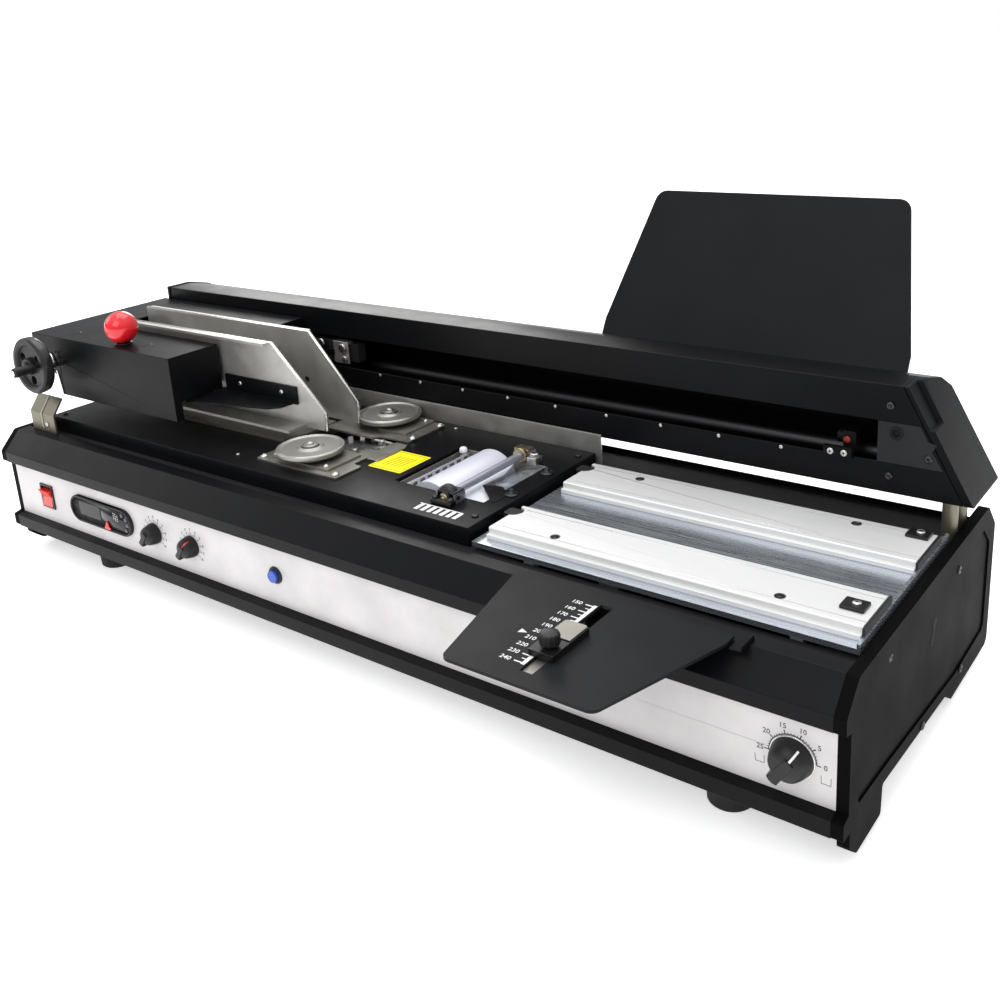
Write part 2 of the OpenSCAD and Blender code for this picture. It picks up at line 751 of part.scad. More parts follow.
module nip_motor() color(dark_steel) centred() difference() {
    rod_y(15, 194, 236, nip_screw_x, nip_screw_z);
    rod_y(screw_r + running, 193, 201, nip_screw_x, nip_screw_z);
}

module lift_screw() color(steel) centred() rod_z(screw_r, 50, 146, lift_x, lift_y);

// ---- Controls ----

module rocker_housing() color([0.1, 0.1, 0.11]) centred() difference() {
    union() {
        block([rocker_x - 12.5, fascia_y - 1.8, rocker_z - 14.5], [rocker_x + 12.5, fascia_y, rocker_z + 14.5]);
        block([rocker_x - 10.9, fascia_y, rocker_z - 13.4], [rocker_x + 10.9, 34, rocker_z + 13.4]);
    }
    block([rocker_x - 9.8, fascia_y - 3, rocker_z - 12.3], [rocker_x + 9.8, 26, rocker_z + 12.3]);
    rod_x(1.5 + running, rocker_x - 12, rocker_x + 12, rocker_pivot_y, rocker_z);
}

module rocker_switch() color(red) centred() translate([rocker_x, rocker_pivot_y, rocker_z]) {
    rest_tilt = 10;
    rotate([rest_tilt, 0, 0]) along_x(-9.4, 9.4)
        polygon([[-8.5, 10.4], [-5.5, 0], [-8.5, -10.4], [4, -8], [4, 8]]);
    rod_x(1.5, -10.6, 10.6, 0, 0);
}

module temperature_controller() color([0.1, 0.1, 0.11]) centred() {
    translate([controller_x, fascia_y, control_z]) rotate([90, 0, 0]) linear_extrude(3) stadium(114, 31);
    block([controller_x - 49.5, fascia_y, control_z - 10.5], [controller_x + 49.5, 52, control_z + 10.5]);
}

// Domed control knob with a bar to grip it by, and its shaft through the fascia
module knob(x, z, r, grip) {
    bar_angle = 235;
    front = fascia_y - grip;
    skirt = fascia_y - 0.6;
    translate([x, front, z]) rotate([-90, 0, 0]) rotate_extrude() polygon([
        [0, 1], [r * 0.45, 1.4], [r * 0.75, 4], [r * 0.93, grip * 0.55], [r, grip * 0.75], [r, grip - 0.6],
        [0, grip - 0.6]
    ]);
    translate([x, skirt, z]) rotate([90, 0, 0]) rotate(bar_angle)
        translate([0, -r * 0.31, 0]) cube([r, r * 0.62, grip - 0.6]);
    rod_y(3, fascia_y - 1, fascia_y + 12, x, z);
}

// Potentiometers behind the knobs, and the barrel behind the push button
module control_bodies() color(nickel) centred() {
    for (p = knob_places) difference() {
        rod_y(9, fascia_y + fascia_t, fascia_y + 20, p[0], p[1]);
        rod_y(3 + running, fascia_y, fascia_y + 13, p[0], p[1]);
    }
    difference() {
        rod_y(9, fascia_y + fascia_t, fascia_y + 24, button_x, control_z);
        rod_y(7.6, fascia_y, fascia_y + 9.5, button_x, control_z);
        rod_y(6 + running, fascia_y, fascia_y + 17, button_x, control_z);
    }
}

module lap_knob() color(black) centred() knob(lap_x, control_z, knob_r, 16);

module clamp_knob() color(black) centred() knob(clamp_x, control_z, knob_r, 16);

module speed_knob() color(black) centred() knob(speed_x, control_z, knob_r, 16);

module thickness_dial() color(black) centred() knob(dial_x, dial_z, dial_r, 17);

module start_button() color([0.1, 0.25, 0.7]) centred() {
    rod_y(6, fascia_y - 5.5, fascia_y + 12, button_x, control_z);
    rod_y(7.5, fascia_y + 3, fascia_y + 5, button_x, control_z);
}

left_end_plate();
right_end_plate();
front_rails();
fascia_panel();
control_bodies();
base_chassis();
rear_panel();
rubber_feet();
chassis_top_plate();
deck_cover();
deck_fence();
parking_bracket();
glue_tank();
tank_heater();
wiper_rod();
scraper_plate();
glue_roller();
roller_motor();
milling_cutter();
upright_motors();
guide_base_plates();
guide_slider_front();
guide_slider_rear();
guide_disc_front();
guide_disc_rear();
beam_housing();
beam_caps();
beam_posts();
travel_stop();
guide_shaft();
shaft_supports();
rear_tray();
front_tray();
tray_slider();
slider_knob();
carriage_cover();
carriage_frame();
carriage_truck();
rear_jaw();
front_jaw();
jaw_yoke();
jaw_shelf();
lead_screw();
handwheel();
crank_handle();
red_ball_knob();
platform();
lift_screw();
front_nip_plate();
rear_nip_plate();
nip_screw();
nip_motor();
rocker_housing();
rocker_switch();
temperature_controller();
lap_knob();
clamp_knob();
speed_knob();
thickness_dial();
start_button();
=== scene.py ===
"""Visual model of a tabletop perfect binding machine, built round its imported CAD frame.

Places are given in millimetres: x from the machine's middle, y back from the front rails' face and
z up from the table. P() turns them into the frame's metres.
"""
import math

import bmesh
import bpy
from mathutils import Matrix, Vector


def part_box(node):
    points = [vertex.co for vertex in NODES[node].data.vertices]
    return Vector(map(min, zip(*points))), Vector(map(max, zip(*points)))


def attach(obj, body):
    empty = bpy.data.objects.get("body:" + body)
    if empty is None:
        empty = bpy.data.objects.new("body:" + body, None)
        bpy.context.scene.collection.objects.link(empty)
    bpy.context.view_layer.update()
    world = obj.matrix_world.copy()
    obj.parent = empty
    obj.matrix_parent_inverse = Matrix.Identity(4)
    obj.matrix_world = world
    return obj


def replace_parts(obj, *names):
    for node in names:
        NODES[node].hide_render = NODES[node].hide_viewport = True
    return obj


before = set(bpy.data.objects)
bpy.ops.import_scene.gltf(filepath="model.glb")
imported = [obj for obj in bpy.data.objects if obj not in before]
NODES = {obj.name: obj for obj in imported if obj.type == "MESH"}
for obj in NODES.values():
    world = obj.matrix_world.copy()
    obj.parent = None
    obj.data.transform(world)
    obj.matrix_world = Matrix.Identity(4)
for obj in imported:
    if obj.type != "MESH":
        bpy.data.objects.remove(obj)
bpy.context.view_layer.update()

FRONT_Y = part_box("front_rails")[0].y
MM = 0.001


def P(x, y, z):
    """A place in millimetres, as a vector in the frame's metres."""
    return Vector((x * MM, FRONT_Y + y * MM, z * MM))


# Places that several sections share, in millimetres
UP = (0, 0, 1)
OUT_FRONT, OUT_BACK = (0, -1, 0), (0, 1, 0)
FASCIA_Y = 9
CONTROL_Z = 82
DECK_Z = 162
ROLLER_X, ROLLER_Z = 72, 139
GUIDE_X = -86
GUIDE_Y = {"front": 102, "rear": 219}
COVER_Z = 256
BEAM_Y = 260
NIP_Z = 162
TRAY_Z = 154.7
REAR_Y = 348

# ---------------------------------------------------------------- materials

NOISE_ROUGHNESS = 0.55
MID_LOW, MID_HIGH = 0.3, 0.7  # the part of a noise's range that is stretched to full contrast


class Shader:
    """A Principled material with helpers that add procedural variation."""

    def __init__(self, name, colour, rough, metallic=0.0, **sockets):
        self.mat = bpy.data.materials.new(name)
        self.mat.use_nodes = True
        self.nodes = self.mat.node_tree.nodes
        self.links = self.mat.node_tree.links
        self.bsdf = self.nodes["Principled BSDF"]
        self.colour, self.rough = colour, rough
        self.bsdf.inputs["Base Color"].default_value = (*colour, 1)
        self.bsdf.inputs["Roughness"].default_value = rough
        self.bsdf.inputs["Metallic"].default_value = metallic
        for key, value in sockets.items():
            self.bsdf.inputs[key.replace("_", " ")].default_value = value
        self.coords = self.nodes.new("ShaderNodeTexCoord").outputs["Object"]
        self.normal = None

    def node(self, kind, **inputs):
        """Adds a shader node and sets its inputs."""
        node = self.nodes.new("ShaderNode" + kind)
        for key, value in inputs.items():
            node.inputs[key.replace("_", " ")].default_value = value
        return node

    def mapped(self, stretch=(1, 1, 1), centre=None):
        """Object coordinates, stretched along the axes and moved so that centre is the origin."""
        node = self.node("Mapping", Scale=stretch)
        if centre is not None:
            node.inputs["Location"].default_value = [-c * s for c, s in zip(centre, stretch)]
        self.links.new(self.coords, node.inputs["Vector"])
        return node.outputs["Vector"]

    def noise(self, scale, stretch=(1, 1, 1), detail=3.0):
        """Even noise, or streaks where stretch differs from axis to axis."""
        node = self.node("TexNoise", Scale=scale, Detail=detail, Roughness=NOISE_ROUGHNESS)
        self.links.new(self.mapped(stretch), node.inputs["Vector"])
        return node.outputs["Fac"]

    def rings(self, centre, axis, scale):
        """Fine concentric brushing about an axis through centre."""
        stretch = [1.0, 1.0, 1.0]
        stretch["XYZ".index(axis)] = 0.0
        length = self.node("VectorMath")
        length.operation = "LENGTH"
        self.links.new(self.mapped(stretch, centre), length.inputs[0])
        node = self.node("TexNoise", Scale=scale, Detail=4)
        node.noise_dimensions = "1D"
        self.links.new(length.outputs["Value"], node.inputs["W"])
        return node.outputs["Fac"]

    def tint(self, fac, amount, lo_at=MID_LOW, hi_at=MID_HIGH):
        """Base colour varies by amount either way."""
        node = self.node("ValToRGB")
        for element, at, gain in zip(node.color_ramp.elements, (lo_at, hi_at), (1 - amount, 1 + amount)):
            element.position = at
            element.color = (*(min(1.0, c * gain) for c in self.colour), 1)
        self.links.new(fac, node.inputs["Fac"])
        self.links.new(node.outputs["Color"], self.bsdf.inputs["Base Color"])

    def gloss(self, fac, spread):
        """Roughness varies by spread either way."""
        low, high = max(0.02, self.rough - spread), min(1.0, self.rough + spread)
        node = self.node("MapRange", From_Min=MID_LOW, From_Max=MID_HIGH, To_Min=low, To_Max=high)
        self.links.new(fac, node.inputs["Value"])
        self.links.new(node.outputs["Result"], self.bsdf.inputs["Roughness"])

    def bump(self, fac, depth_mm):
        """Adds relief of a given depth on top of any relief that is there already."""
        node = self.node("Bump", Strength=1.0, Distance=depth_mm * MM)
        self.links.new(fac, node.inputs["Height"])
        if self.normal is not None:
            self.links.new(self.normal, node.inputs["Normal"])
        self.normal = node.outputs["Normal"]
        self.links.new(self.normal, self.bsdf.inputs["Normal"])


def powder(name, colour, rough=0.42, grain=0.05, smudge=0.04, specular=0.10):
    """Powder-coated sheet: fine orange peel, soft smudges and dust."""
    s = Shader(name, colour, rough, Specular_IOR_Level=specular)
    s.tint(s.noise(14, detail=5), 0.12)
    s.gloss(s.noise(22, detail=4), smudge)
    s.bump(s.noise(700, detail=2), grain)
    s.bump(s.noise(2400, detail=1), grain * 0.35)
    return s.mat


def brushed(name, colour, rough, along, depth=0.012, metallic=1.0, tint=0.06, spread=0.07):
    """Metal brushed along one axis."""
    stretch = [900.0, 900.0, 900.0]
    stretch["XYZ".index(along)] = 12.0
    s = Shader(name, colour, rough, metallic)
    grain = s.noise(1.0, stretch, detail=3)
    s.tint(s.noise(9, detail=4), tint)
    s.gloss(grain, spread)
    s.bump(grain, depth)
    return s.mat


def turned(name, colour, rough, centre, axis, metallic=1.0):
    """Metal turned on a lathe, with fine rings about its own axis."""
    s = Shader(name, colour, rough, metallic)
    ring = s.rings(centre, axis, 1800)
    s.tint(s.rings(centre, axis, 420), 0.05)
    s.gloss(ring, 0.08)
    s.bump(ring, 0.012)
    return s.mat


def plastic(name, colour, rough, grain=0.03, coat=0.0):
    """Moulded plastic, rubber, enamel or print, with an optional clear coat."""
    s = Shader(name, colour, rough, Specular_IOR_Level=0.35, Coat_Weight=coat, Coat_Roughness=0.08)
    s.tint(s.noise(60, detail=3), 0.05)
    s.gloss(s.noise(35, detail=3), 0.05)
    s.bump(s.noise(1600, detail=2), grain)
    return s.mat


def galvanised(name, colour, rough, flake=90, metallic=0.85):
    """Zinc or nickel plate with faint crystals and handling marks."""
    s = Shader(name, colour, rough, metallic)
    cells = s.node("TexVoronoi", Scale=flake)
    s.links.new(s.mapped(), cells.inputs["Vector"])
    s.tint(cells.outputs["Color"], 0.05, 0.0, 1.0)
    s.gloss(s.noise(45, detail=5), 0.09)
    s.bump(s.noise(1.0, (40, 700, 700), detail=3), 0.008)
    return s.mat


M = {
    "black": powder("black_powder", (0.0042, 0.0045, 0.0052), 0.36),
    # Darker, duller copy of the black powder for the end plates: painted shade on the machine's side faces
    "side": powder("shaded_side_powder", (0.0030, 0.0031, 0.0033), 0.52, specular=0.02),
    # Lighter copy of the black powder for the trays: painted light on their upward faces
    "tray": powder("lit_tray_powder", (0.0085, 0.009, 0.010), 0.44, grain=0.035),
    "deck": powder("deck_powder", (0.0045, 0.0048, 0.0055), 0.34, grain=0.04),
    "fascia": powder("fascia_paint", (0.60, 0.575, 0.575), 0.34, grain=0.015, smudge=0.04, specular=0.4),
    "chassis": powder("chassis_primer", (0.02, 0.02, 0.022), 0.5),
    "gunmetal": brushed("blued_steel", (0.05, 0.05, 0.053), 0.38, "X"),
    "nickel": galvanised("nickel_plate", (0.52, 0.512, 0.485), 0.46),
    "worn_plate": galvanised("worn_plate", (0.30, 0.285, 0.255), 0.4),
    # Bright bare steel; on the jaws' edges, the cover's corner plate, the discs' rings and the dial's ring
    # it also stands for painted highlights
    "edge": brushed("bright_steel_and_highlight", (0.86, 0.85, 0.82), 0.24, "X"),
    "latch": brushed("latch_plate", (0.19, 0.175, 0.13), 0.4, "Z", metallic=0.8),
    "steel": brushed("ground_steel", (0.58, 0.58, 0.59), 0.26, "X"),
    "tank": galvanised("tank_casting", (0.56, 0.55, 0.52), 0.33, 60),
    "nip": brushed("anodised_bar", (0.74, 0.74, 0.735), 0.45, "X", 0.02, metallic=0.35, tint=0.02),
    "platform": brushed("platform_plate", (0.60, 0.64, 0.70), 0.27, "X", 0.012, metallic=0.95),
    "roller": turned("roller_surface", (0.76, 0.76, 0.85), 0.34, P(ROLLER_X, 0, ROLLER_Z), "Y", 0.25),
    "rubber": plastic("rubber", (0.009, 0.009, 0.0095), 0.72, 0.08),
    "plastic": plastic("black_plastic", (0.007, 0.007, 0.0075), 0.32),
    "soft_black": plastic("soft_black_plastic", (0.010, 0.010, 0.011), 0.45, 0.06),
    "red": plastic("red_phenolic", (0.74, 0.012, 0.02), 0.2, 0.008, coat=0.6),
    "red_lens": plastic("red_lens", (0.78, 0.03, 0.02), 0.25, 0.01, coat=0.4),
    "blue": plastic("blue_cap", (0.012, 0.07, 0.42), 0.28, 0.01, coat=0.3),
    "yellow": plastic("yellow_label", (0.93, 0.80, 0.005), 0.4, 0.01),
    "white": plastic("white_print", (0.86, 0.86, 0.85), 0.5, 0.01),
    "ink": plastic("black_print", (0.02, 0.02, 0.022), 0.5, 0.01),
    "enamel": plastic("white_enamel", (0.80, 0.81, 0.86), 0.3, 0.01, coat=0.2),
    # Near-black for flat pieces that stand for painted shade in holes and recesses; the filler's grommet
    # also uses it for its own rubber
    "hole": plastic("painted_hole_shade", (0.004, 0.004, 0.004), 0.8, 0.02),
    "screw": brushed("screw_zinc", (0.66, 0.65, 0.62), 0.3, "Z"),
    # Blackened steel of real screws, also used for flat rings of painted shade in screw holes and in the
    # discs' grooves
    "black_screw_and_shade": brushed("black_screw_and_hole_shade", (0.06, 0.06, 0.062), 0.35, "Z"),
    "glue": plastic("hot_melt", (0.72, 0.66, 0.50), 0.22, 0.05, coat=0.5),
    "copper": brushed("brass_pin", (0.62, 0.42, 0.2), 0.3, "Z"),
    "bronze": brushed("bronze_block", (0.36, 0.31, 0.2), 0.36, "Y"),
    "smoke": plastic("smoked_face", (0.006, 0.006, 0.008), 0.2, 0.004, coat=0.25),
    "display": plastic("display_window", (0.004, 0.004, 0.005), 0.3, 0.002),
    "key": plastic("grey_key", (0.10, 0.105, 0.12), 0.35),
    # Lighter black for the handwheel's rim grip: its wear, with a painted sheen in the lighter colour
    "sheen": plastic("worn_and_sheen_black_rim", (0.02, 0.02, 0.021), 0.24, 0.02, coat=0.3),
    "filler": powder("filler_powder", (0.024, 0.026, 0.028), 0.45),
    # Red of the stop's bumper, darkened: painted shade inside the beam's slot
    "bumper": plastic("shaded_red_bumper", (0.30, 0.02, 0.02), 0.5),
    "shaft": brushed("wiped_shaft", (0.42, 0.42, 0.5), 0.34, "Y", metallic=0.6),
    "drip": galvanised("drip_plate", (0.62, 0.68, 0.74), 0.18, 50),
    "nip_line": brushed("scored_aluminium", (0.74, 0.74, 0.75), 0.3, "X", metallic=0.6),
}

# ---------------------------------------------------------------- mesh helpers

SHARP_DEGREES = 32
HEAD_SIDES = 24
PRINT_LIFT = 0.05
# Finishes of the screws: material and slot
ZINC = (M["screw"], "bright_steel")
BLACKENED = (M["black_screw_and_shade"], "chassis_steel")


def link_mesh(name, bm, material):
    """Turns a bmesh into an object of the scene."""
    mesh = bpy.data.meshes.new(name)
    bm.to_mesh(mesh)
    bm.free()
    mesh.materials.append(material)
    obj = bpy.data.objects.new(name, mesh)
    bpy.context.scene.collection.objects.link(obj)
    return obj


def new_piece(name, bm, material, body, bevel=0.0, smooth=True):
    """Makes a piece from a bmesh, in the frame's metres, with its material, and ties it to a body."""
    bmesh.ops.remove_doubles(bm, verts=bm.verts, dist=1e-6)
    bmesh.ops.recalc_face_normals(bm, faces=bm.faces)
    for face in bm.faces:
        face.smooth = smooth
    obj = link_mesh(name, bm, material)
    if bevel:
        round_edges(obj, bevel)
    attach(obj, body)
    return obj


def round_edges(obj, width_mm):
    """Bevels the sharp edges, with normals that keep the flats flat."""
    bevel = obj.modifiers.new("edges", "BEVEL")
    bevel.width = width_mm * MM
    bevel.segments = 2
    bevel.limit_method = "ANGLE"
    bevel.angle_limit = math.radians(SHARP_DEGREES)
    bevel.use_clamp_overlap = True
    bevel.harden_normals = False
    normals = obj.modifiers.new("normals", "WEIGHTED_NORMAL")
    normals.keep_sharp = False
    normals.weight = 100


def box(bm, low, high):
    """A box between two corners, in millimetres."""
    lo, hi = P(*low), P(*high)
    verts = [bm.verts.new((x, y, z)) for x in (lo.x, hi.x) for y in (lo.y, hi.y) for z in (lo.z, hi.z)]
    for quad in ((0, 1, 3, 2), (4, 6, 7, 5), (0, 4, 5, 1), (2, 3, 7, 6), (0, 2, 6, 4), (1, 5, 7, 3)):
        bm.faces.new([verts[i] for i in quad])


def skin(bm, rings, capped=True):
    """Joins rings of vertices with quads, and closes the first and the last ring."""
    for low, high in zip(rings, rings[1:]):
        for i in range(len(low)):
            j = (i + 1) % len(low)
            bm.faces.new([low[i], low[j], high[j], high[i]])
    if capped:
        bm.faces.new(rings[0])
        bm.faces.new(rings[-1])


def sheet(bm, rows):
    """Joins open rows of vertices with quads."""
    for low, high in zip(rows, rows[1:]):
        for i in range(len(low) - 1):
            bm.faces.new([low[i], low[i + 1], high[i + 1], high[i]])


PLANES = {"X": lambda a, b, t: (t, a, b), "Y": lambda a, b, t: (a, t, b), "Z": lambda a, b, t: (a, b, t)}


def prism(bm, outline, axis, t0, t1):
    """Extrudes an outline, in the plane across axis, between two places along it."""
    place = PLANES[axis]
    skin(bm, [[bm.verts.new(P(*place(a, b, t))) for a, b in outline] for t in (t0, t1)])


def frame_axes(axis):
    """Two unit vectors across axis, so that (u, v, axis) is right-handed."""
    w = Vector(axis).normalized()
    u = Vector((0, 0, 1)) if abs(w.z) < 0.9 else Vector((1, 0, 0))
    u = (u - w * u.dot(w)).normalized()
    return u, w.cross(u), w


def lathe(bm, profile, at, axis, sides=32, wobble=None):
    """Turns a profile of (radius, height) points about axis at a place in millimetres."""
    u, v, w = frame_axes(axis)
    origin = P(*at)
    rings = []
    for radius, height in profile:
        ring = []
        if radius <= 1e-6:
            ring = [bm.verts.new(origin + w * height * MM)]
        else:
            for i in range(sides):
                a = 2 * math.pi * i / sides
                r = radius * (wobble(a, height) if wobble else 1.0)
                ring.append(bm.verts.new(
                    origin + (u * math.cos(a) + v * math.sin(a)) * r * MM + w * height * MM))
        rings.append(ring)
    for low, high in zip(rings, rings[1:]):
        for i in range(sides):
            j = (i + 1) % sides
            if len(low) == 1 and len(high) == 1:
                break
            if len(low) == 1:
                bm.faces.new([low[0], high[i], high[j]])
            elif len(high) == 1:
                bm.faces.new([low[i], low[j], high[0]])
            else:
                bm.faces.new([low[i], low[j], high[j], high[i]])


def arc(cx, cy, r, a0, a1, steps):
    """Points along a circle, from one angle to another in degrees."""
    return [(cx + r * math.cos(math.radians(a0 + (a1 - a0) * i / steps)),
             cy + r * math.sin(math.radians(a0 + (a1 - a0) * i / steps))) for i in range(steps + 1)]


def rounded_rect(x0, y0, x1, y1, r, steps=5):
    """Outline of a rectangle with round corners."""
    return (arc(x1 - r, y1 - r, r, 0, 90, steps) + arc(x0 + r, y1 - r, r, 90, 180, steps)
            + arc(x0 + r, y0 + r, r, 180, 270, steps) + arc(x1 - r, y0 + r, r, 270, 360, steps))


def socket_screws(name, places, axis, r, height, finish, body):
    """Button-head screws with a hexagon socket, standing on a surface along axis."""
    material, slot = finish
    bm = bmesh.new()
    hex_r = r * 0.45
    u, v, w = frame_axes(axis)
    turns = [2 * math.pi * i / HEAD_SIDES for i in range(HEAD_SIDES)]
    for at in places:
        profile = [(0.0, 0.0), (r, 0.0), (r, height * 0.35), (r * 0.86, height * 0.75), (r * 0.62, height)]
        lathe(bm, profile, at, axis, HEAD_SIDES)
        origin = P(*at)
        outer, inner, floor = [], [], []
        for a in turns:
            spoke = u * math.cos(a) + v * math.sin(a)
            side = a % (math.pi / 3) - math.pi / 6
            reach = hex_r * math.cos(math.pi / 6) / math.cos(side)
            outer.append(origin + spoke * r * 0.62 * MM + w * height * MM)
            inner.append(origin + spoke * reach * MM + w * height * MM)
            floor.append(origin + spoke * reach * MM + w * height * 0.3 * MM)
        rings = [[bm.verts.new(p) for p in ring] for ring in (outer, inner, floor)]
        skin(bm, rings, capped=False)
        bm.faces.new(rings[-1])
    new_piece(name, bm, material, body)


def dome_screws(name, places, axis, r, height, finish, body, cross=True):
    """Pan-head screws, with the shade in a cross recess painted as a thin dark plus on the head."""
    material, slot = finish
    bm = bmesh.new()
    steps = 5
    dome = [(r * math.cos(math.radians(t * 62 / steps)),
             height * (0.25 + 0.75 * math.sin(math.radians(t * 90 / steps)))) for t in range(steps + 1)]
    for at in places:
        lathe(bm, [(0.0, 0.0), (r, 0.0)] + dome + [(0.0, height)], at, axis, HEAD_SIDES)
    new_piece(name, bm, material, body)
    if not cross:
        return
    bm = bmesh.new()
    u, v, w = frame_axes(axis)
    reach, t = r * 0.5 * MM, r * 0.11 * MM
    for at in places:
        top = P(*at) + w * (height - 0.12) * MM
        for a, b in ((u, v), (v, u)):
            corners = [(-reach, -t), (reach, -t), (reach, t), (-reach, t)]
            skin(bm, [[bm.verts.new(top + a * p + b * q + w * h) for p, q in corners]
                      for h in (0, 0.17 * MM)])
    new_piece(name + "_recess", bm, M["hole"], body, smooth=False)


def number(text, size, at, right, up, out):
    """Mesh of a number that is printed at a place, as a thin raised print."""
    curve = bpy.data.curves.new("number", "FONT")
    curve.body = text
    curve.size = size * MM
    curve.align_x = "CENTER"
    curve.align_y = "CENTER"
    curve.extrude = PRINT_LIFT * MM
    curve.offset = size * 0.006 * MM
    curve.resolution_u = 3
    obj = bpy.data.objects.new("number", curve)
    bpy.context.scene.collection.objects.link(obj)
    r, u, o = (Vector(a).normalized() for a in (right, up, out))
    turn = Matrix((r, u, o)).transposed().to_4x4()
    turn.translation = P(*at) + o * PRINT_LIFT * MM
    mesh = bpy.data.meshes.new_from_object(obj.evaluated_get(bpy.context.evaluated_depsgraph_get()))
    mesh.transform(turn)
    bpy.data.objects.remove(obj)
    bpy.data.curves.remove(curve)
    return mesh


def prints(name, meshes, bm, material, body):
    """Joins printed numbers with the flat marks in bm."""
    for mesh in meshes:
        bm.from_mesh(mesh)
        bpy.data.meshes.remove(mesh)
    obj = link_mesh(name, bm, material)
    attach(obj, body)


def bar(bm, a, b, width, out, lift=0.08):
    """A thin printed line from a to b on a surface that faces out."""
    start, end, o = P(*a), P(*b), Vector(out).normalized()
    side = (end - start).normalized().cross(o) * width * MM / 2
    skin(bm, [[bm.verts.new(p + h) for p in (start - side, start + side, end + side, end - side)]
              for h in (Vector(), o * lift * MM)])


# ---------------------------------------------------------------- CAD nodes

# For each material, its CAD nodes and the radius of their soft edges
NODE_LOOK = {
    # The end plates take the darker copy of the black powder, painted shade on the sides
    "side": {"left_end_plate": 0.8, "right_end_plate": 0.8},
    "black": {"front_rails": 0.5, "rear_panel": 0.5, "beam_housing": 1.0, "beam_caps": 1.4,
              "carriage_cover": 1.0, "jaw_shelf": 0.5, "travel_stop": 0.4},
    # The trays take the lighter copy of the black powder, painted light on their tops
    "tray": {"rear_tray": 0.4, "front_tray": 0.4},
    "deck": {"deck_cover": 0.9},
    "fascia": {"fascia_panel": 0.2},
    "chassis": {"base_chassis": 0.4, "chassis_top_plate": 0.4, "carriage_frame": 0.5,
                "carriage_truck": 0.5, "upright_motors": 0.8, "roller_motor": 1.0, "nip_motor": 0.8},
    "gunmetal": {"guide_shaft": 0.5, "shaft_supports": 0.6, "jaw_yoke": 0.6},
    "shaft": {"wiper_rod": 0.8},
    "nickel": {"deck_fence": 0.3, "rear_jaw": 0.7, "front_jaw": 0.7, "control_bodies": 0.4},
    "worn_plate": {"guide_base_plates": 0.4, "guide_slider_front": 0.5, "guide_slider_rear": 0.5},
    "latch": {"parking_bracket": 0.4, "beam_posts": 0.6},
    "steel": {"milling_cutter": 0.2, "lead_screw": 0.5, "lift_screw": 0.3, "nip_screw": 0.3},
    "tank": {"glue_tank": 0.8, "tank_heater": 0.6},
    "roller": {"glue_roller": 0.6},
    "enamel": {"scraper_plate": 0.3},
    "nip": {"front_nip_plate": 0.5, "rear_nip_plate": 0.5},
    "platform": {"platform": 0.6},
    "plastic": {"slider_knob": 0.6, "lap_knob": 0.4, "clamp_knob": 0.4, "speed_knob": 0.4,
                "thickness_dial": 0.4, "temperature_controller": 0.8, "rocker_housing": 0.5,
                "tray_slider": 0.5},
    "soft_black": {"handwheel": 0.8, "crank_handle": 0.6},
    "red": {"red_ball_knob": 0.0},
    "red_lens": {"rocker_switch": 0.6},
    "blue": {"start_button": 0.8},
    "rubber": {"rubber_feet": 1.0},
}


def dress_node(name, material, bevel_mm):
    """Gives a CAD node its material and soft edges, and leaves its mesh alone."""
    obj = NODES[name]
    if obj.material_slots:
        for slot in obj.material_slots:
            slot.material = material
    else:
        obj.data.materials.append(material)
    if "custom_normal" in obj.data.attributes:
        obj.data.attributes.remove(obj.data.attributes["custom_normal"])
    for face in obj.data.polygons:
        face.use_smooth = True
    weld = obj.modifiers.new("weld", "WELD")
    weld.merge_threshold = 0.00002
    round_edges(obj, max(bevel_mm, 0.05))


for look, nodes in NODE_LOOK.items():
    for node_name, node_bevel in nodes.items():
        dress_node(node_name, M[look], node_bevel)

for name, centre_y in GUIDE_Y.items():
    disc = "guide_disc_" + name
    centre = P(GUIDE_X, centre_y, 0)
    dress_node(disc, turned(disc + "_face", (0.42, 0.41, 0.38), 0.4, centre, "Z", metallic=0.85), 0.5)

# ---------------------------------------------------------------- fascia and its controls

# Each knob's x, z, skirt radius and height off the fascia
KNOBS = {"lap_knob": (-238, CONTROL_Z, 11.5, 16), "clamp_knob": (-176.5, CONTROL_Z, 11.5, 16),
         "speed_knob": (207, CONTROL_Z, 11.5, 16), "thickness_dial": (471.7, 80.5, 15.5, 17)}


def polar(cx, cz, r, degrees, y):
    """A place round (cx, cz) in the plane of the fascia."""
    return (cx + r * math.cos(math.radians(degrees)), y, cz + r * math.sin(math.radians(degrees)))


# Where the grip's long end and the pointer line of every knob point
GRIP_DEGREES, LINE_DEGREES = 235, 58


def direction(degrees):
    """Unit vector in the plane of the fascia, and the one across it."""
    along = Vector((math.cos(math.radians(degrees)), 0, math.sin(math.radians(degrees))))
    return along, Vector((-along.z, 0, along.x))


def knob_skirt_ribs(a, height):
    """Shallow ribs round the skirt, for lathe."""
    return 1.0 - (0.012 if 1.0 < height < 4.0 and int(a / (math.pi / 36)) % 2 else 0.0)


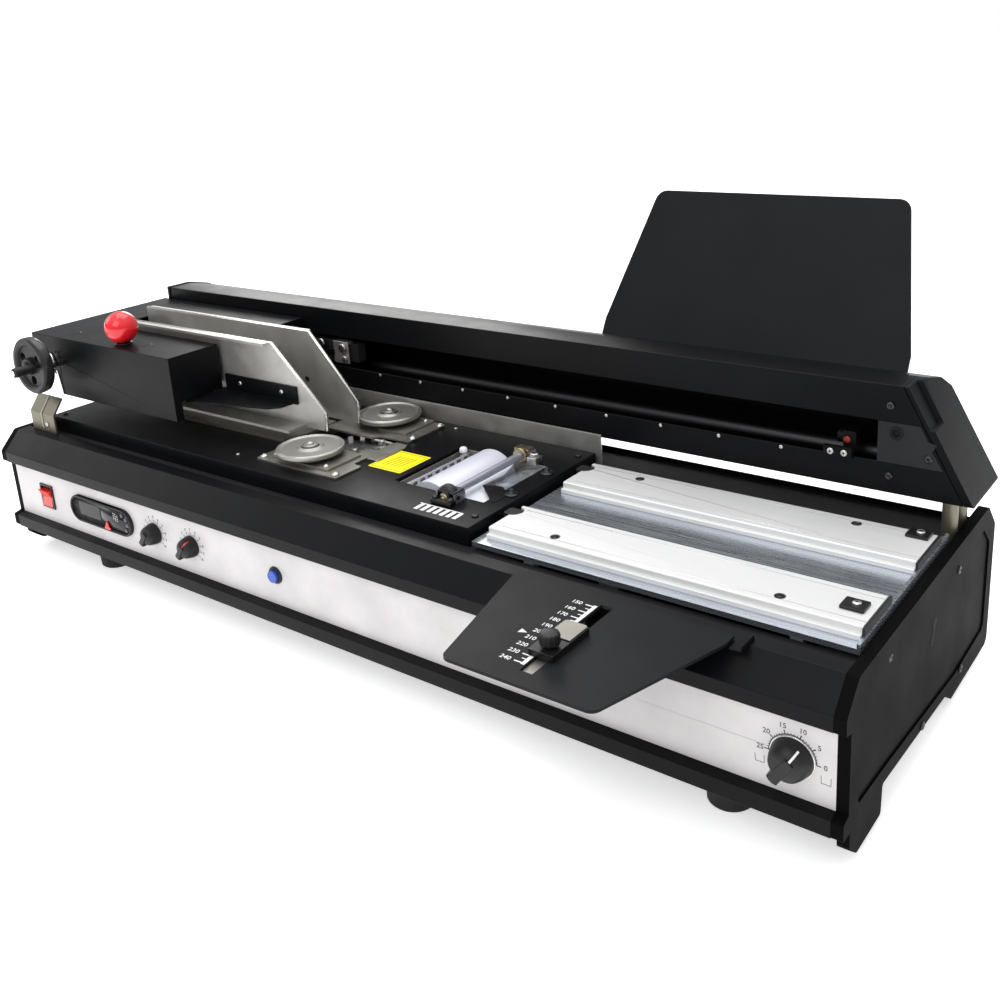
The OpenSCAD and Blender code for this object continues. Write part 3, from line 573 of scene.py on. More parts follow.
def pointer_knob(name, line_colour):
    """A domed knob with a grip bar, a ribbed skirt and an inlaid pointer line."""
    x, z, r, grip = KNOBS[name]
    at = Vector((x, FASCIA_Y, z))
    bm = bmesh.new()
    skirt = [(0, 0.6), (r, 0.6), (r, 1.2), (r, 3.4), (r * 0.97, 4.2), (r * 0.93, grip * 0.45)]
    dome = [(r * 0.84, grip * 0.68), (r * 0.7, grip * 0.82), (r * 0.45, grip * 0.92), (0, grip * 0.95)]
    lathe(bm, skirt + dome, at, OUT_FRONT, 72, knob_skirt_ribs)
    u, v = direction(GRIP_DEGREES)
    half, back = r * 0.31, -r * 0.5
    section = [(back, half * 0.8), (back, -half * 0.8), (r * 1.0, -half), (r * 1.08, -half * 0.4),
               (r * 1.08, half * 0.4), (r * 1.0, half)]
    rings = []
    for depth, scale in ((0.6, 1.0), (grip * 0.6, 0.985), (grip * 0.94, 0.95), (grip, 0.86)):
        rings.append([bm.verts.new(P(*(at + (u * a * (1 if a < 0 else scale) + v * b * scale)
                                       + Vector((0, -depth, 0))))) for a, b in section])
    skin(bm, rings)
    knob = new_piece(name + "_body", bm, M["soft_black"], name, bevel=0.35)
    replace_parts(knob, name)
    bm = bmesh.new()
    d, across = direction(LINE_DEGREES)
    half = r * 0.05
    rows = []
    for reach, height in ((0.08, 0.95), (0.45, 0.925), (0.7, 0.825), (0.84, 0.69), (0.93, 0.46)):
        centre = at + d * r * reach + Vector((0, -(grip * height + 0.15), 0))
        rows.append([bm.verts.new(P(*(centre + across * k))) for k in (-half, half)])
    sheet(bm, rows)
    line = new_piece(name + "_pointer", bm, line_colour, name, smooth=False)
    thick = line.modifiers.new("depth", "SOLIDIFY")
    thick.thickness = 0.25 * MM
    thick.offset = 0


pointer_knob("lap_knob", M["soft_black"])
pointer_knob("clamp_knob", M["red_lens"])
pointer_knob("speed_knob", M["white"])
pointer_knob("thickness_dial", M["white"])

# Scales round the knobs: ticks and plain numbers
bm = bmesh.new()
labels = []
for name in ("lap_knob", "clamp_knob", "speed_knob"):
    x, z = KNOBS[name][:2]
    for i in range(11):
        angle = 222 - i * 26.4
        bar(bm, polar(x, z, 13.2, angle, FASCIA_Y), polar(x, z, 15.4, angle, FASCIA_Y), 0.8, OUT_FRONT)
        at = polar(x, z, 18.2, angle, FASCIA_Y)
        labels.append(number(str(i), 4.2, at, (1, 0, 0), (0, 0, 1), OUT_FRONT))
x, z = KNOBS["thickness_dial"][:2]
DIAL_ARC_R = 17.2
for i in range(26):
    angle = i * 180 / 25
    long = i % 5 == 0
    bar(bm, polar(x, z, DIAL_ARC_R, angle, FASCIA_Y), polar(x, z, 20.4 if long else 18.4, angle, FASCIA_Y),
        0.8 if long else 0.5, OUT_FRONT)
    if long:
        at = polar(x, z, 23.6, angle, FASCIA_Y)
        labels.append(number(str(i), 5.6, at, (1, 0, 0), (0, 0, 1), OUT_FRONT))
for i in range(40):
    a, b = (polar(x, z, DIAL_ARC_R, 182 * k / 40, FASCIA_Y) for k in (i, i + 1.05))
    bar(bm, a, b, 0.7, OUT_FRONT)

# Open boxes under the two ends of the dial's scale
for side, lean in ((-1, 0.52), (1, 0.24)):
    left = x + side * 24 - 3.5
    low, high = z - 12.5, z - 6.5
    corners = [(left, FASCIA_Y, high), (left + lean, FASCIA_Y, low), (left + 7, FASCIA_Y, low),
               (left + 7, FASCIA_Y, high)]
    for a, b in zip(corners, corners[1:]):
        bar(bm, a, b, 0.4, OUT_FRONT)
prints("fascia_scales", labels, bm, M["ink"], "base")

# Bright ring round the thickness dial's skirt, a painted highlight on the skirt's bevel
bm = bmesh.new()
lathe(bm, [(15.7, 0.0), (16.6, 0.0), (16.6, 0.9), (16.2, 1.3), (15.7, 0.9)], (x, FASCIA_Y, z), OUT_FRONT, 64)
new_piece("dial_rim_highlight", bm, M["edge"], "base")

# Oblong controller: rim, smoked face, lamp and keys
CONTROLLER_X = -333
HALF_LENGTH, HALF_HEIGHT, RIM = 57, 15.5, 2.2
FACE_Y = FASCIA_Y - 3.2


def oblong(inset):
    """Outline of the controller, drawn in by inset."""
    radius = HALF_HEIGHT - inset
    reach = HALF_LENGTH - HALF_HEIGHT
    return (arc(CONTROLLER_X + reach, CONTROL_Z, radius, -90, 90, 12)
            + arc(CONTROLLER_X - reach, CONTROL_Z, radius, 90, 270, 12))


bm = bmesh.new()
levels = [(0, 0.0), (0, 3.6), (0.5, 4.2), (1.6, 4.2), (RIM, 3.0)]
skin(bm, [[bm.verts.new(P(a, FASCIA_Y - up, b)) for a, b in oblong(inset)] for inset, up in levels],
     capped=False)
new_piece("controller_rim", bm, M["plastic"], "base")
bm = bmesh.new()
prism(bm, oblong(RIM), "Y", FASCIA_Y - 3.25, FASCIA_Y - 3.0)
new_piece("controller_face", bm, M["smoke"], "base")
bm = bmesh.new()
prism(bm, rounded_rect(-372, 76, -332, 92, 2.5), "Y", FASCIA_Y - 3.5, FACE_Y)
new_piece("controller_window", bm, M["display"], "base", bevel=0.15)
bm = bmesh.new()
for angle in (82, 38, -4, -48):
    at = polar(CONTROLLER_X + HALF_LENGTH - HALF_HEIGHT, CONTROL_Z, 9.6, angle, FASCIA_Y)
    lathe(bm, [(0, 3.2), (2.3, 3.2), (2.3, 4.3), (1.8, 4.8), (0, 5.0)], at, OUT_FRONT, 24)
new_piece("controller_keys", bm, M["key"], "base")
bm = bmesh.new()
for i in range(3):
    for k in range(4):
        a = (CONTROLLER_X + 25 + 3.2 * i, FASCIA_Y - 3.25, CONTROL_Z + 8.5 - 2.1 * k - 0.9 * i)
        bar(bm, a, (a[0] + 1.8, a[1], a[2]), 0.6, OUT_FRONT)
prints("controller_marks", [], bm, M["white"], "base")
bm = bmesh.new()
prism(bm, rounded_rect(-326, 68.4, -315.6, 71.4, 1.2), "Y", FASCIA_Y - 4.6, FACE_Y)
prism(bm, [(-324.6, 71), (-317, 71), (-319.4, 77.4), (-321.4, 77.4)], "Y", FASCIA_Y - 4.9, FACE_Y)
new_piece("controller_lamp", bm, M["red_lens"], "base", bevel=0.5)

# Push button bezel
bm = bmesh.new()
lathe(bm, [(6.3, 0), (8.8, 0), (8.8, 0.9), (8.1, 2.0), (6.8, 2.2), (6.3, 1.8)],
      (-49.5, FASCIA_Y, CONTROL_Z), OUT_FRONT, 48)
new_piece("button_bezel", bm, M["soft_black"], "base")

# ---------------------------------------------------------------- deck and glue station

places = [(150, 73.5, DECK_Z), (150, 236, DECK_Z), (-465, 62, DECK_Z), (-465, 240, DECK_Z)]
dome_screws("deck_screws", places, UP, 3.4, 1.8, BLACKENED, "base")
dome_screws("deck_small_screw", [(-165, 72.5, DECK_Z), (-10, 240, DECK_Z)], UP, 2.0, 1.3, ZINC, "base",
            cross=False)
bm = bmesh.new()
for at in ((150, 127, DECK_Z), (149, 184, DECK_Z)):
    lathe(bm, [(0, 0), (6.4, 0), (6.4, 0.9), (5.9, 1.2), (2.6, 1.2), (2.4, 5.2), (2.0, 5.8), (0, 6.0)],
          at, UP, 24)
new_piece("deck_studs", bm, M["gunmetal"], "base")

# Printed marks in front of the glue window
bm = bmesh.new()
for i in range(7):
    mark_x = 92.2 + i * 7.4
    bar(bm, (mark_x, 59.5, DECK_Z), (mark_x, 71.2, DECK_Z), 4.2, UP)
bar(bm, (88, 72.2, DECK_Z), (138, 72.2, DECK_Z), 1.2, UP)
prints("position_marks", [], bm, M["white"], "base")

# Plain yellow label, with an outline and some hatching
LABEL_Z = DECK_Z + 0.25
bm = bmesh.new()
prism(bm, rounded_rect(-20, 115, 23, 162, 1.6), "Z", DECK_Z, LABEL_Z)
new_piece("caution_label", bm, M["yellow"], "base", bevel=0.1)
bm = bmesh.new()
corners = [(-17.5, 118, LABEL_Z), (20.5, 118, LABEL_Z), (20.5, 159, LABEL_Z), (-17.5, 159, LABEL_Z)]
for a, b in zip(corners, corners[1:] + corners[:1]):
    bar(bm, a, b, 0.5, UP, 0.04)
for i in range(5):
    bar(bm, (-10 + i * 5, 126, LABEL_Z), (-6 + i * 5, 150, LABEL_Z), 0.7, UP, 0.04)
prints("caution_label_lines", [], bm, M["ink"], "base")

# Molten glue in the tank, which climbs a little beside the roller
GLUE_X, GLUE_Y, GLUE_Z = (26.3, 141.4), (100.3, 203.7), 127
bm = bmesh.new()
steps_x, steps_y = 36, 30
grid = []
for i in range(steps_x + 1):
    row = []
    for j in range(steps_y + 1):
        gx = GLUE_X[0] + (GLUE_X[1] - GLUE_X[0]) * i / steps_x
        gy = GLUE_Y[0] + (GLUE_Y[1] - GLUE_Y[0]) * j / steps_y
        swell = 0.5 * math.sin(gx * 0.11) * math.cos(gy * 0.09) + 0.3 * math.sin(gy * 0.31 + gx * 0.05)
        near = max(0.0, 1 - abs(abs(gx - ROLLER_X) - 27) / 7)
        row.append(bm.verts.new(P(gx, gy, GLUE_Z + swell + near * 2.0)))
    grid.append(row)
for i in range(steps_x):
    for j in range(steps_y):
        bm.faces.new([grid[i][j], grid[i + 1][j], grid[i + 1][j + 1], grid[i][j + 1]])
glue = new_piece("glue_pool", bm, M["glue"], "base")
glue.modifiers.new("depth", "SOLIDIFY").thickness = -3 * MM

# Slotted guard on the left of the tank
bm = bmesh.new()
guard_low, guard_high = 103, 200.5
slots = [110 + 11.0 * i for i in range(8)]
edges = [guard_low] + [v for y in slots for v in (y, y + 6.5)] + [guard_high]
for a, b in zip(edges[::2], edges[1::2]):
    box(bm, (42.4, a, 146), (44, b, 158))
box(bm, (42.4, guard_low, 158), (44, guard_high, 160.5))
box(bm, (31.5, guard_low, 140), (44, guard_high, 146))
new_piece("tank_guard", bm, M["steel"], "base", bevel=0.25)

# Bright lining that shows inside the glue window
bm = bmesh.new()
box(bm, (31, 200.2, 134), (137, 201.6, 160.5))
box(bm, (31, 101.4, 134), (96, 102.6, 158.5))
box(bm, (30.4, 103, 134), (31.6, 200.2, 158.5))
new_piece("window_lining", bm, M["worn_plate"], "base", bevel=0.3)
bm = bmesh.new()
lathe(bm, [(0, 0), (3.6, 0), (4.2, 1.6), (3.9, 4.5), (2.6, 5.8), (0, 6.2)], (38, 194, 159.5), UP, 24)
new_piece("lining_button", bm, M["enamel"], "base")

# Polished drip plate beside the roller, and the black shield over its front corner
bm = bmesh.new()
rows = []
for i in range(25):
    gy = 119.5 + (200 - 119.5) * i / 24
    rows.append([bm.verts.new(P(gx, gy, 158.6 + fall + 0.5 * math.sin(gy * 0.35 + gx * 0.2) * (fall < 0)))
                 for gx, fall in ((138, 0), (132, -0.6), (125, -2.0), (117, -3.6), (109, -4.6))])
sheet(bm, rows)
drip = new_piece("drip_plate", bm, M["drip"], "base")
drip.modifiers.new("depth", "SOLIDIFY").thickness = 0.8 * MM
bm = bmesh.new()
prism(bm, [(112.5, 131.5), (137.6, 109.8), (141, 104), (148, 104), (148, 133), (142, 130.5), (137, 133),
           (133, 136.5), (124, 136), (118, 133.5)], "Z", DECK_Z - 1.4, DECK_Z + 0.5)
new_piece("window_shield", bm, M["deck"], "base", bevel=0.3)

# Bearing brackets of the wiper rod, with clamp bolts and washers
bm = bmesh.new()
lathe(bm, [(0, 0), (10.5, 0), (11.2, 1.5), (11.2, 6), (9.6, 8.2), (6.2, 8.6), (5.6, 10.2), (0, 10.6)],
      (107, 93.5, 166), OUT_FRONT, 40)
box(bm, (96, 76, 162), (120, 84, 166.5))
box(bm, (98, 84, 162), (118, 99, 172.5))
new_piece("front_bearing_bracket", bm, M["gunmetal"], "base", bevel=0.6)
socket_screws("front_bracket_bolts", [(99, 80, 166.5), (117, 80, 166.5)], UP, 3.0, 2.6, BLACKENED, "base")
bm = bmesh.new()
lathe(bm, [(2.6, 0), (4.8, 0), (4.8, 1.2), (2.6, 1.2)], (107, 83, 166), OUT_FRONT, 32)
lathe(bm, [(0, 0), (2.4, 0), (2.4, 2.2), (1.6, 2.8), (0, 2.8)], (107, 83, 166), OUT_FRONT, 24)
new_piece("front_bracket_pin", bm, M["bronze"], "base")
bm = bmesh.new()
box(bm, (96.5, 202.5, 161.8), (114, 214, 172.5))
lathe(bm, [(0, 0), (7.6, 0), (8, 1), (8, 4.5), (7, 5.5), (0, 5.5)], (106, 203, 166.8), OUT_FRONT, 36)
new_piece("rear_bearing_bracket", bm, M["bronze"], "base", bevel=0.7)
bm = bmesh.new()
box(bm, (116, 196, 161), (127, 208, 168))
lathe(bm, [(0, 0), (4.6, 0), (4.6, 2.8), (3.8, 3.6), (0, 3.6)], (121.5, 202, 168), UP, 6)
new_piece("rear_bracket_nut", bm, M["screw"], "base", bevel=0.6)

# ---------------------------------------------------------------- guide station

# Spindle nuts and slider screws; the front guide slides, the rear one is fixed to the base
for name, body, lean in (("front", "front_guide_slider", 1), ("rear", "base", -1)):
    disc_y = GUIDE_Y[name]
    bm = bmesh.new()
    lathe(bm, [(0, 0), (6.4, 0), (6.4, 0.7), (5.9, 1.0), (0, 1.0)], (GUIDE_X, disc_y, 176.6), UP, 36)
    lathe(bm, [(0, 1.0), (4.0, 1.0), (4.0, 2.7), (3.6, 3.1), (2.1, 3.1), (2.0, 3.7), (0, 3.9)],
          (GUIDE_X, disc_y, 176.6), UP, 6)
    new_piece(name + "_spindle_nut", bm, M["screw"], body, bevel=0.3)
    corners = [(-120, disc_y - lean * 16, 166.3), (-48, disc_y - lean * 16, 166.3)]
    socket_screws(name + "_slider_screws", corners, UP, 3.1, 1.6, ZINC, body)
places = [(x0, y0, 164) for x0, y0 in ((-130, 78), (-27, 78), (-27, 234), (-134, 234), (-27, 190))]
socket_screws("guide_plate_screws", places, UP, 4.0, 2.6, ZINC, "base")

# Bright rings on the faces of the discs, painted highlights on the edges of the rim and hub grooves, and a
# flat dark ring of painted shade in the hub's groove
for name, disc_y in GUIDE_Y.items():
    bm = bmesh.new()
    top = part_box("guide_disc_" + name)[1].z / MM
    rim = (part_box("guide_disc_" + name)[1].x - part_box("guide_disc_" + name)[0].x) / MM / 2
    for r, w in ((rim - 2.2, 0.9), (11.0, 1.0)):
        lathe(bm, [(r - w, -0.02), (r, -0.02), (r - w * 0.3, 0.2), (r - w * 0.7, 0.2), (r - w, -0.02)],
              (GUIDE_X, disc_y, top), UP, 96)
    new_piece(name + "_disc_rings", bm, M["edge"], name + "_guide_disc")
    bm = bmesh.new()
    lathe(bm, [(7.4, 0.02), (9.4, 0.02), (9.4, 0.08), (7.4, 0.08), (7.4, 0.02)], (GUIDE_X, disc_y, top), UP,
          64)
    new_piece(name + "_disc_groove_shade", bm, M["black_screw_and_shade"], name + "_guide_disc")

# Throat between the guides, and the blocks that stop the sliders
bm = bmesh.new()
prism(bm, [(-52, 127), (-20, 127), (-18, 129), (-18, 168), (-22, 176), (-36, 176), (-40, 172), (-40, 150),
           (-52, 146)], "Z", DECK_Z, DECK_Z + 1.3)
new_piece("throat_plate", bm, M["worn_plate"], "base", bevel=0.4)
bm = bmesh.new()
box(bm, (-78, 129.5, DECK_Z), (-45, 133.5, DECK_Z + 1.6))
box(bm, (-64, 170.2, DECK_Z), (-40, 173.5, DECK_Z + 1.6))
for pin_x, pin_y in ((-58, 136), (-50, 168)):
    lathe(bm, [(0, 0), (2.6, 0), (2.6, 3.4), (1.8, 4), (0, 4)], (pin_x, pin_y, DECK_Z), UP, 20)
new_piece("guide_stop_blocks", bm, M["nickel"], "base", bevel=0.4)

# ---------------------------------------------------------------- carriage

# Rings and studs on top of the cover, the ball's collar and the corner plate
bm = bmesh.new()
for mx, my in ((-458.4, 87.8), (-325.8, 91.8), (-320.9, 229.8), (-468.6, 238.8)):
    lathe(bm, [(6.1, 0), (6.9, 0), (6.9, 0.18), (6.1, 0.18)], (mx, my, COVER_Z), UP, 40)
    lathe(bm, [(0, 0), (1.5, 0), (1.5, 0.25), (0, 0.3)], (mx + 8.5, my + 3, COVER_Z), UP, 20)
new_piece("cover_studs", bm, M["gunmetal"], "carriage")
bm = bmesh.new()
lathe(bm, [(6.2, 0), (9.6, 0), (9.8, 0.5), (9.2, 1.4), (6.2, 1.6)], (-357, 85, COVER_Z), UP, 40)
new_piece("ball_collar", bm, M["plastic"], "carriage")
# The corner plate's bright strip is also a painted highlight on the cover's corner edge
bm = bmesh.new()
prism(bm, [(-474, 214), (-472.2, 214), (-466.6, 186.5), (-469, 185)], "Y", 64.8, 72)
new_piece("cover_corner_plate", bm, M["edge"], "carriage", bevel=0.3)

# Bright strips along the two jaws' edges, their bare cut edges with a painted highlight on them: name, body,
# the jaw's two faces and its outline from the left
JAWS = (("front_jaw_edge", "front_jaw", 136, 140, [(-438, 265), (-169, 265), (-96, 198), (-98, 178)]),
        ("rear_jaw_edge", "carriage", 175, 179, [(-438, 270), (-153, 270), (-88, 200), (-90, 176)]))
for name, body, y0, y1, path in JAWS:
    bm = bmesh.new()
    offset = []
    for i, (px, pz) in enumerate(path):
        before = Vector(path[max(0, i - 1)])
        after = Vector(path[min(len(path) - 1, i + 1)])
        here = Vector((px, pz))
        d0 = (here - before).normalized() if i else (after - here).normalized()
        d1 = (after - here).normalized() if i < len(path) - 1 else d0
        mid = (Vector((-d0.y, d0.x)) + Vector((-d1.y, d1.x))).normalized()
        offset.append((here + mid * 0.45, here - mid * 0.9))
    skin(bm, [[bm.verts.new(P(p.x, y, p.y)) for p, y in
               ((a, y0 + 0.5), (a, y1 - 0.5), (b, y1 + 0.25), (b, y0 - 0.25))] for a, b in offset])
    new_piece(name, bm, M["edge"], body)
bm = bmesh.new()
lathe(bm, [(0, -0.2), (3.2, -0.2), (3.2, 0.5), (2.2, 0.9), (2.2, 0.2), (0, 0.2)], (-162, 175, 215.7),
      OUT_FRONT, 32)
new_piece("rear_jaw_stud", bm, M["gunmetal"], "carriage")
dome_screws("shelf_screws", [(-158, 134, 213), (-225, 134, 213)], OUT_FRONT, 2.9, 1.6, ZINC, "front_jaw")

# Roller bracket of the carriage, seen in the beam's slot
bm = bmesh.new()
box(bm, (-208, 260.6, 206), (-184, 262.4, 232))
box(bm, (-208, 262, 229), (-184, 270, 231.5))
new_piece("truck_bracket", bm, M["nickel"], "carriage", bevel=0.5)
bm = bmesh.new()
for px, pz, r in ((-192, 225, 5.4), (-190, 212, 4.0), (-226, 228, 5.0)):
    lathe(bm, [(0, 0), (r, 0), (r, 2.4), (r * 0.8, 3.2), (r * 0.4, 3.2), (0, 3.0)], (px, 260.6, pz),
          OUT_FRONT, 28)
new_piece("truck_rollers", bm, M["screw"], "carriage")
bm = bmesh.new()
box(bm, (-236, 260.5, 214), (-206, 266, 222))
new_piece("truck_arm", bm, M["gunmetal"], "carriage", bevel=0.8)

# Handwheel: hub cap, rim grip, the lead screw's collar and the handle's bolt
WHEEL_X, WHEEL_Z = -471, 228.5
bm = bmesh.new()
lathe(bm, [(0, 0), (6.5, 0), (6.5, 1.4), (5.2, 2.2), (0, 2.4)], (WHEEL_X, 28.5, WHEEL_Z), OUT_FRONT, 40)
new_piece("wheel_hub_cap", bm, M["plastic"], "handwheel")
# Band round the rim grip in the lighter black, partly painted sheen
bm = bmesh.new()
lathe(bm, [(32.7, 2), (33.35, 3), (33.35, 11), (32.7, 12)], (WHEEL_X, 30.5, WHEEL_Z), OUT_BACK, 96)
new_piece("wheel_rim_band", bm, M["sheen"], "handwheel")
bm = bmesh.new()
lathe(bm, [(9.2, 0), (10.2, 0.4), (10.2, 6.5), (9.2, 7)], (WHEEL_X, 54, WHEEL_Z), OUT_BACK, 48)
new_piece("screw_collar", bm, M["edge"], "handwheel")
bm = bmesh.new()
lathe(bm, [(0, 0.6), (2.0, 0.6), (2.0, 0.2), (3.4, 0.2), (3.6, -0.6), (0, -0.6)], (-453, 1.5, 230.5),
      OUT_FRONT, 32)
new_piece("handle_bolt", bm, M["edge"], "crank_handle")

# Parking bracket: centre rib and screw
bm = bmesh.new()
prism(bm, [(32.1, 151), (32.1, 172.4), (46.3, 190.6), (47.4, 189.8), (33.4, 171.6), (33.4, 151)], "X",
      -466.9, -465.7)
new_piece("bracket_rib", bm, M["nickel"], "base", bevel=0.15)
dome_screws("bracket_screw", [(-458, 33, 159)], OUT_FRONT, 3.2, 1.8, ZINC, "base")

# ---------------------------------------------------------------- beam

dome_screws("beam_screws", [(-135 + 60.75 * i, BEAM_Y, 199.4) for i in range(9)], OUT_FRONT, 1.9, 1.1, ZINC,
            "base", cross=False)
dome_screws("stop_screws", [(397.5, 256, 205.4), (409.5, 256, 205.4)], OUT_FRONT, 3.0, 1.5, ZINC, "base")
socket_screws("beam_end_screws", [(446, BEAM_Y, 252.4), (478.7, BEAM_Y, 211), (446.9, BEAM_Y, 190.5)],
              OUT_FRONT, 3.6, 2.2, BLACKENED, "base")
# Bumper in the beam's slot; its darkened red is painted shade
bm = bmesh.new()
lathe(bm, [(0, 0), (3.8, 0), (4.4, 2.0), (4.2, 4.6), (2.8, 6.6), (0, 7.2)], (409, 272, 213.5),
      (-0.3, -0.9, 0.2), 32)
new_piece("stop_bumper", bm, M["bumper"], "base")


def beam_end_x(z):
    """Where the slanted end of the beam is, at a height."""
    return 516 - (z - 175) * 0.5535


# Plate that fills the slot's right end, and its grommet
FILLER_Y = BEAM_Y - 0.7
bm = bmesh.new()
prism(bm, [(436.5, 202.5), (436.5, 238), (beam_end_x(238) - 10, 238), (beam_end_x(226) - 10, 226),
           (beam_end_x(222) - 5, 224), (beam_end_x(218) - 11, 218), (beam_end_x(202.5) - 10, 202.5)], "Y",
      FILLER_Y, BEAM_Y)
new_piece("slot_filler", bm, M["filler"], "base", bevel=0.2)
# The grommet is near-black rubber; the flat disc in its middle is painted shade in the hole
bm = bmesh.new()
lathe(bm, [(3.0, 0), (5.6, 0), (5.6, 1.0), (4.9, 1.4), (3.4, 1.4), (3.0, 0.8)], (452, FILLER_Y, 229.5),
      OUT_FRONT, 36)
lathe(bm, [(0, 0.1), (3.1, 0.1), (3.1, 0.3), (0, 0.3)], (452, FILLER_Y, 229.5), OUT_FRONT, 24)
new_piece("filler_grommet", bm, M["hole"], "base")

# ---------------------------------------------------------------- nip station and trays

# Screw holes, clips, dark end blocks and scored lines of the two plates; the rear plate rides on the
# platform
# The screw holes are flat dark rings and discs: painted shade in the countersunk holes
for body, spots in (("front_nip_plate", [(433.2, 73.5), (234.8, 73.9)]),
                    ("platform", [(233.1, 213.9), (436.3, 217)])):
    bm = bmesh.new()
    for hx, hy in spots:
        lathe(bm, [(2.4, 0.02), (4.3, 0.02), (4.3, 0.16), (3.9, 0.2), (2.6, -0.4)], (hx, hy, NIP_Z), UP, 32)
        lathe(bm, [(0, 0.02), (2.8, 0.02), (2.8, 0.1), (0, 0.1)], (hx, hy, NIP_Z), UP, 24)
    new_piece(body + "_screw_holes", bm, M["black_screw_and_shade"], body)
CLIP_T = 2.2
for body, clip_x, clip_y in (("front_nip_plate", 484, 86), ("platform", 486, 220)):
    bm = bmesh.new()
    prism(bm, rounded_rect(clip_x - 9, clip_y - 8, clip_x + 9, clip_y + 8, 1.2), "Z", NIP_Z, NIP_Z + CLIP_T)
    new_piece(body + "_clip", bm, M["plastic"], body, bevel=0.4)
    dome_screws(body + "_clip_screw", [(clip_x + 1, clip_y + 1, NIP_Z + CLIP_T)], UP, 3.4, 1.5, ZINC, body)
# Dark blocks over the plates' right end faces and at their left notches
for body, y0, y1, notch in (("front_nip_plate", 60, 115, 100), ("platform", 172, 229.5, 214)):
    bm = bmesh.new()
    prism(bm, rounded_rect(498.5, y0, 500.9, y1, 0.6, 2), "Z", 153, 161.2)
    prism(bm, rounded_rect(165, notch - 6.5, 179.5, notch + 6.5, 2.5), "Z", 157, 161)
    new_piece(body + "_dark_end_blocks", bm, M["soft_black"], body, bevel=0.4)
    bm = bmesh.new()
    for gy in (y0 + 9, y1 - 9):
        prism(bm, [(gy - 0.5, NIP_Z - 0.02), (gy + 0.5, NIP_Z - 0.02), (gy + 0.3, NIP_Z + 0.14),
                   (gy - 0.3, NIP_Z + 0.14)], "X", 183, 498.3)
    new_piece(body + "_score_lines", bm, M["nip_line"], body)

# Front tray: ruler from 150 to 240 with a tick every 5 mm, rear screws and the stop's metal strip
TOP_PLATE_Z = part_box("chassis_top_plate")[1].z / MM
TICK_STEP = 4.92
bm = bmesh.new()
labels = []
bar(bm, (319.4, 4.5, TRAY_Z), (319.4, -87.5, TRAY_Z), 3.0, UP)
for i in range(19):
    ty = 2.6 - i * TICK_STEP
    long = i % 2 == 0
    bar(bm, (318, ty, TRAY_Z), (311.5 if long else 314.5, ty, TRAY_Z), 1.1 if long else 0.8, UP)
    if long:
        labels.append(number(str(150 + i * 5), 6.0, (304.0, ty, TRAY_Z), (1, 0, 0), (0, 1, 0), UP))
prism(bm, [(291.5, -49.5), (297.8, -52.2), (291.5, -55)], "Z", TRAY_Z, TRAY_Z + 0.1)
prints("tray_ruler", labels, bm, M["white"], "base")
dome_screws("tray_screws", [(268, 31, TOP_PLATE_Z), (389.6, 28, TOP_PLATE_Z)], UP, 3.0, 1.6, BLACKENED,
            "base", cross=False)
bm = bmesh.new()
box(bm, (320.6, -97, TRAY_Z - 2.7), (333.4, -58, TRAY_Z - 2.0))
prism(bm, [(317, -54), (336, -54), (336, -32), (334, -30.6), (319, -30.6), (317, -32)], "Z", TRAY_Z + 5,
      TRAY_Z + 5.9)
new_piece("slider_strip", bm, M["worn_plate"], "tray_slider", bevel=0.2)


def flutes(a, height):
    """Twelve flutes round the stop's knob, for lathe."""
    return 1.0 - (0.05 if math.sin(a * 12) < -0.2 else 0.0)


bm = bmesh.new()
profile = [(0, 7.1), (7.2, 7.1), (7.6, 8.0), (7.6, 13.6), (7.0, 15.2), (5.2, 16.0), (0, 16.3)]
lathe(bm, profile, (327, -65, TRAY_Z), UP, 96, flutes)
lathe(bm, [(0, 5.1), (4.6, 5.1), (4.6, 7.1), (0, 7.1)], (327, -65, TRAY_Z), UP, 40)
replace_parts(new_piece("slider_knob_body", bm, M["soft_black"], "slider_knob", bevel=0.3),
            "slider_knob")
bm = bmesh.new()
box(bm, (425, 8, 149.6), (434.5, 28, 151.2))
box(bm, (433.2, 8, 149.6), (434.5, 28, 153.4))
new_piece("tray_side_tab", bm, M["black"], "base", bevel=0.4)

# ---------------------------------------------------------------- end plates, back and underside

# Screws at (y, z); those inside the rim stand on the recessed panel
PLATE_SCREWS = [(249, 125), (84, 131), (266, 25), (165, 28), (68, 34.5)]
END_X, RECESS = 512, 1.5
for side, name in ((-1, "left"), (1, "right")):
    out = (side, 0, 0)
    rim_x, panel_x = side * END_X, side * (END_X - RECESS)
    places = [(panel_x if 28 < z < 133 and 26 < y < 336 else rim_x, y, z) for y, z in PLATE_SCREWS]
    socket_screws(name + "_plate_screws", places, out, 3.6, 1.4, BLACKENED, "base")
    # Keyhole drawn flat in near-black, painted shade inside the hole
    bm = bmesh.new()
    lathe(bm, [(0, 0.02), (5.2, 0.02), (5.8, 0.25), (6.4, 0.02)], (panel_x, 189.5, 104), out, 36)
    prism(bm, [(180, 90), (184.5, 88), (190, 100), (186, 102)], "X", panel_x, panel_x + side * 0.2)
    new_piece(name + "_plate_keyhole", bm, M["hole"], "base", smooth=False)

# Power inlet and screws of the back
INLET_Y = REAR_Y + 2.2
bm = bmesh.new()
prism(bm, rounded_rect(-225, 54, -177, 96, 3), "Y", REAR_Y, INLET_Y)
new_piece("inlet_flange", bm, M["soft_black"], "base", bevel=0.5)
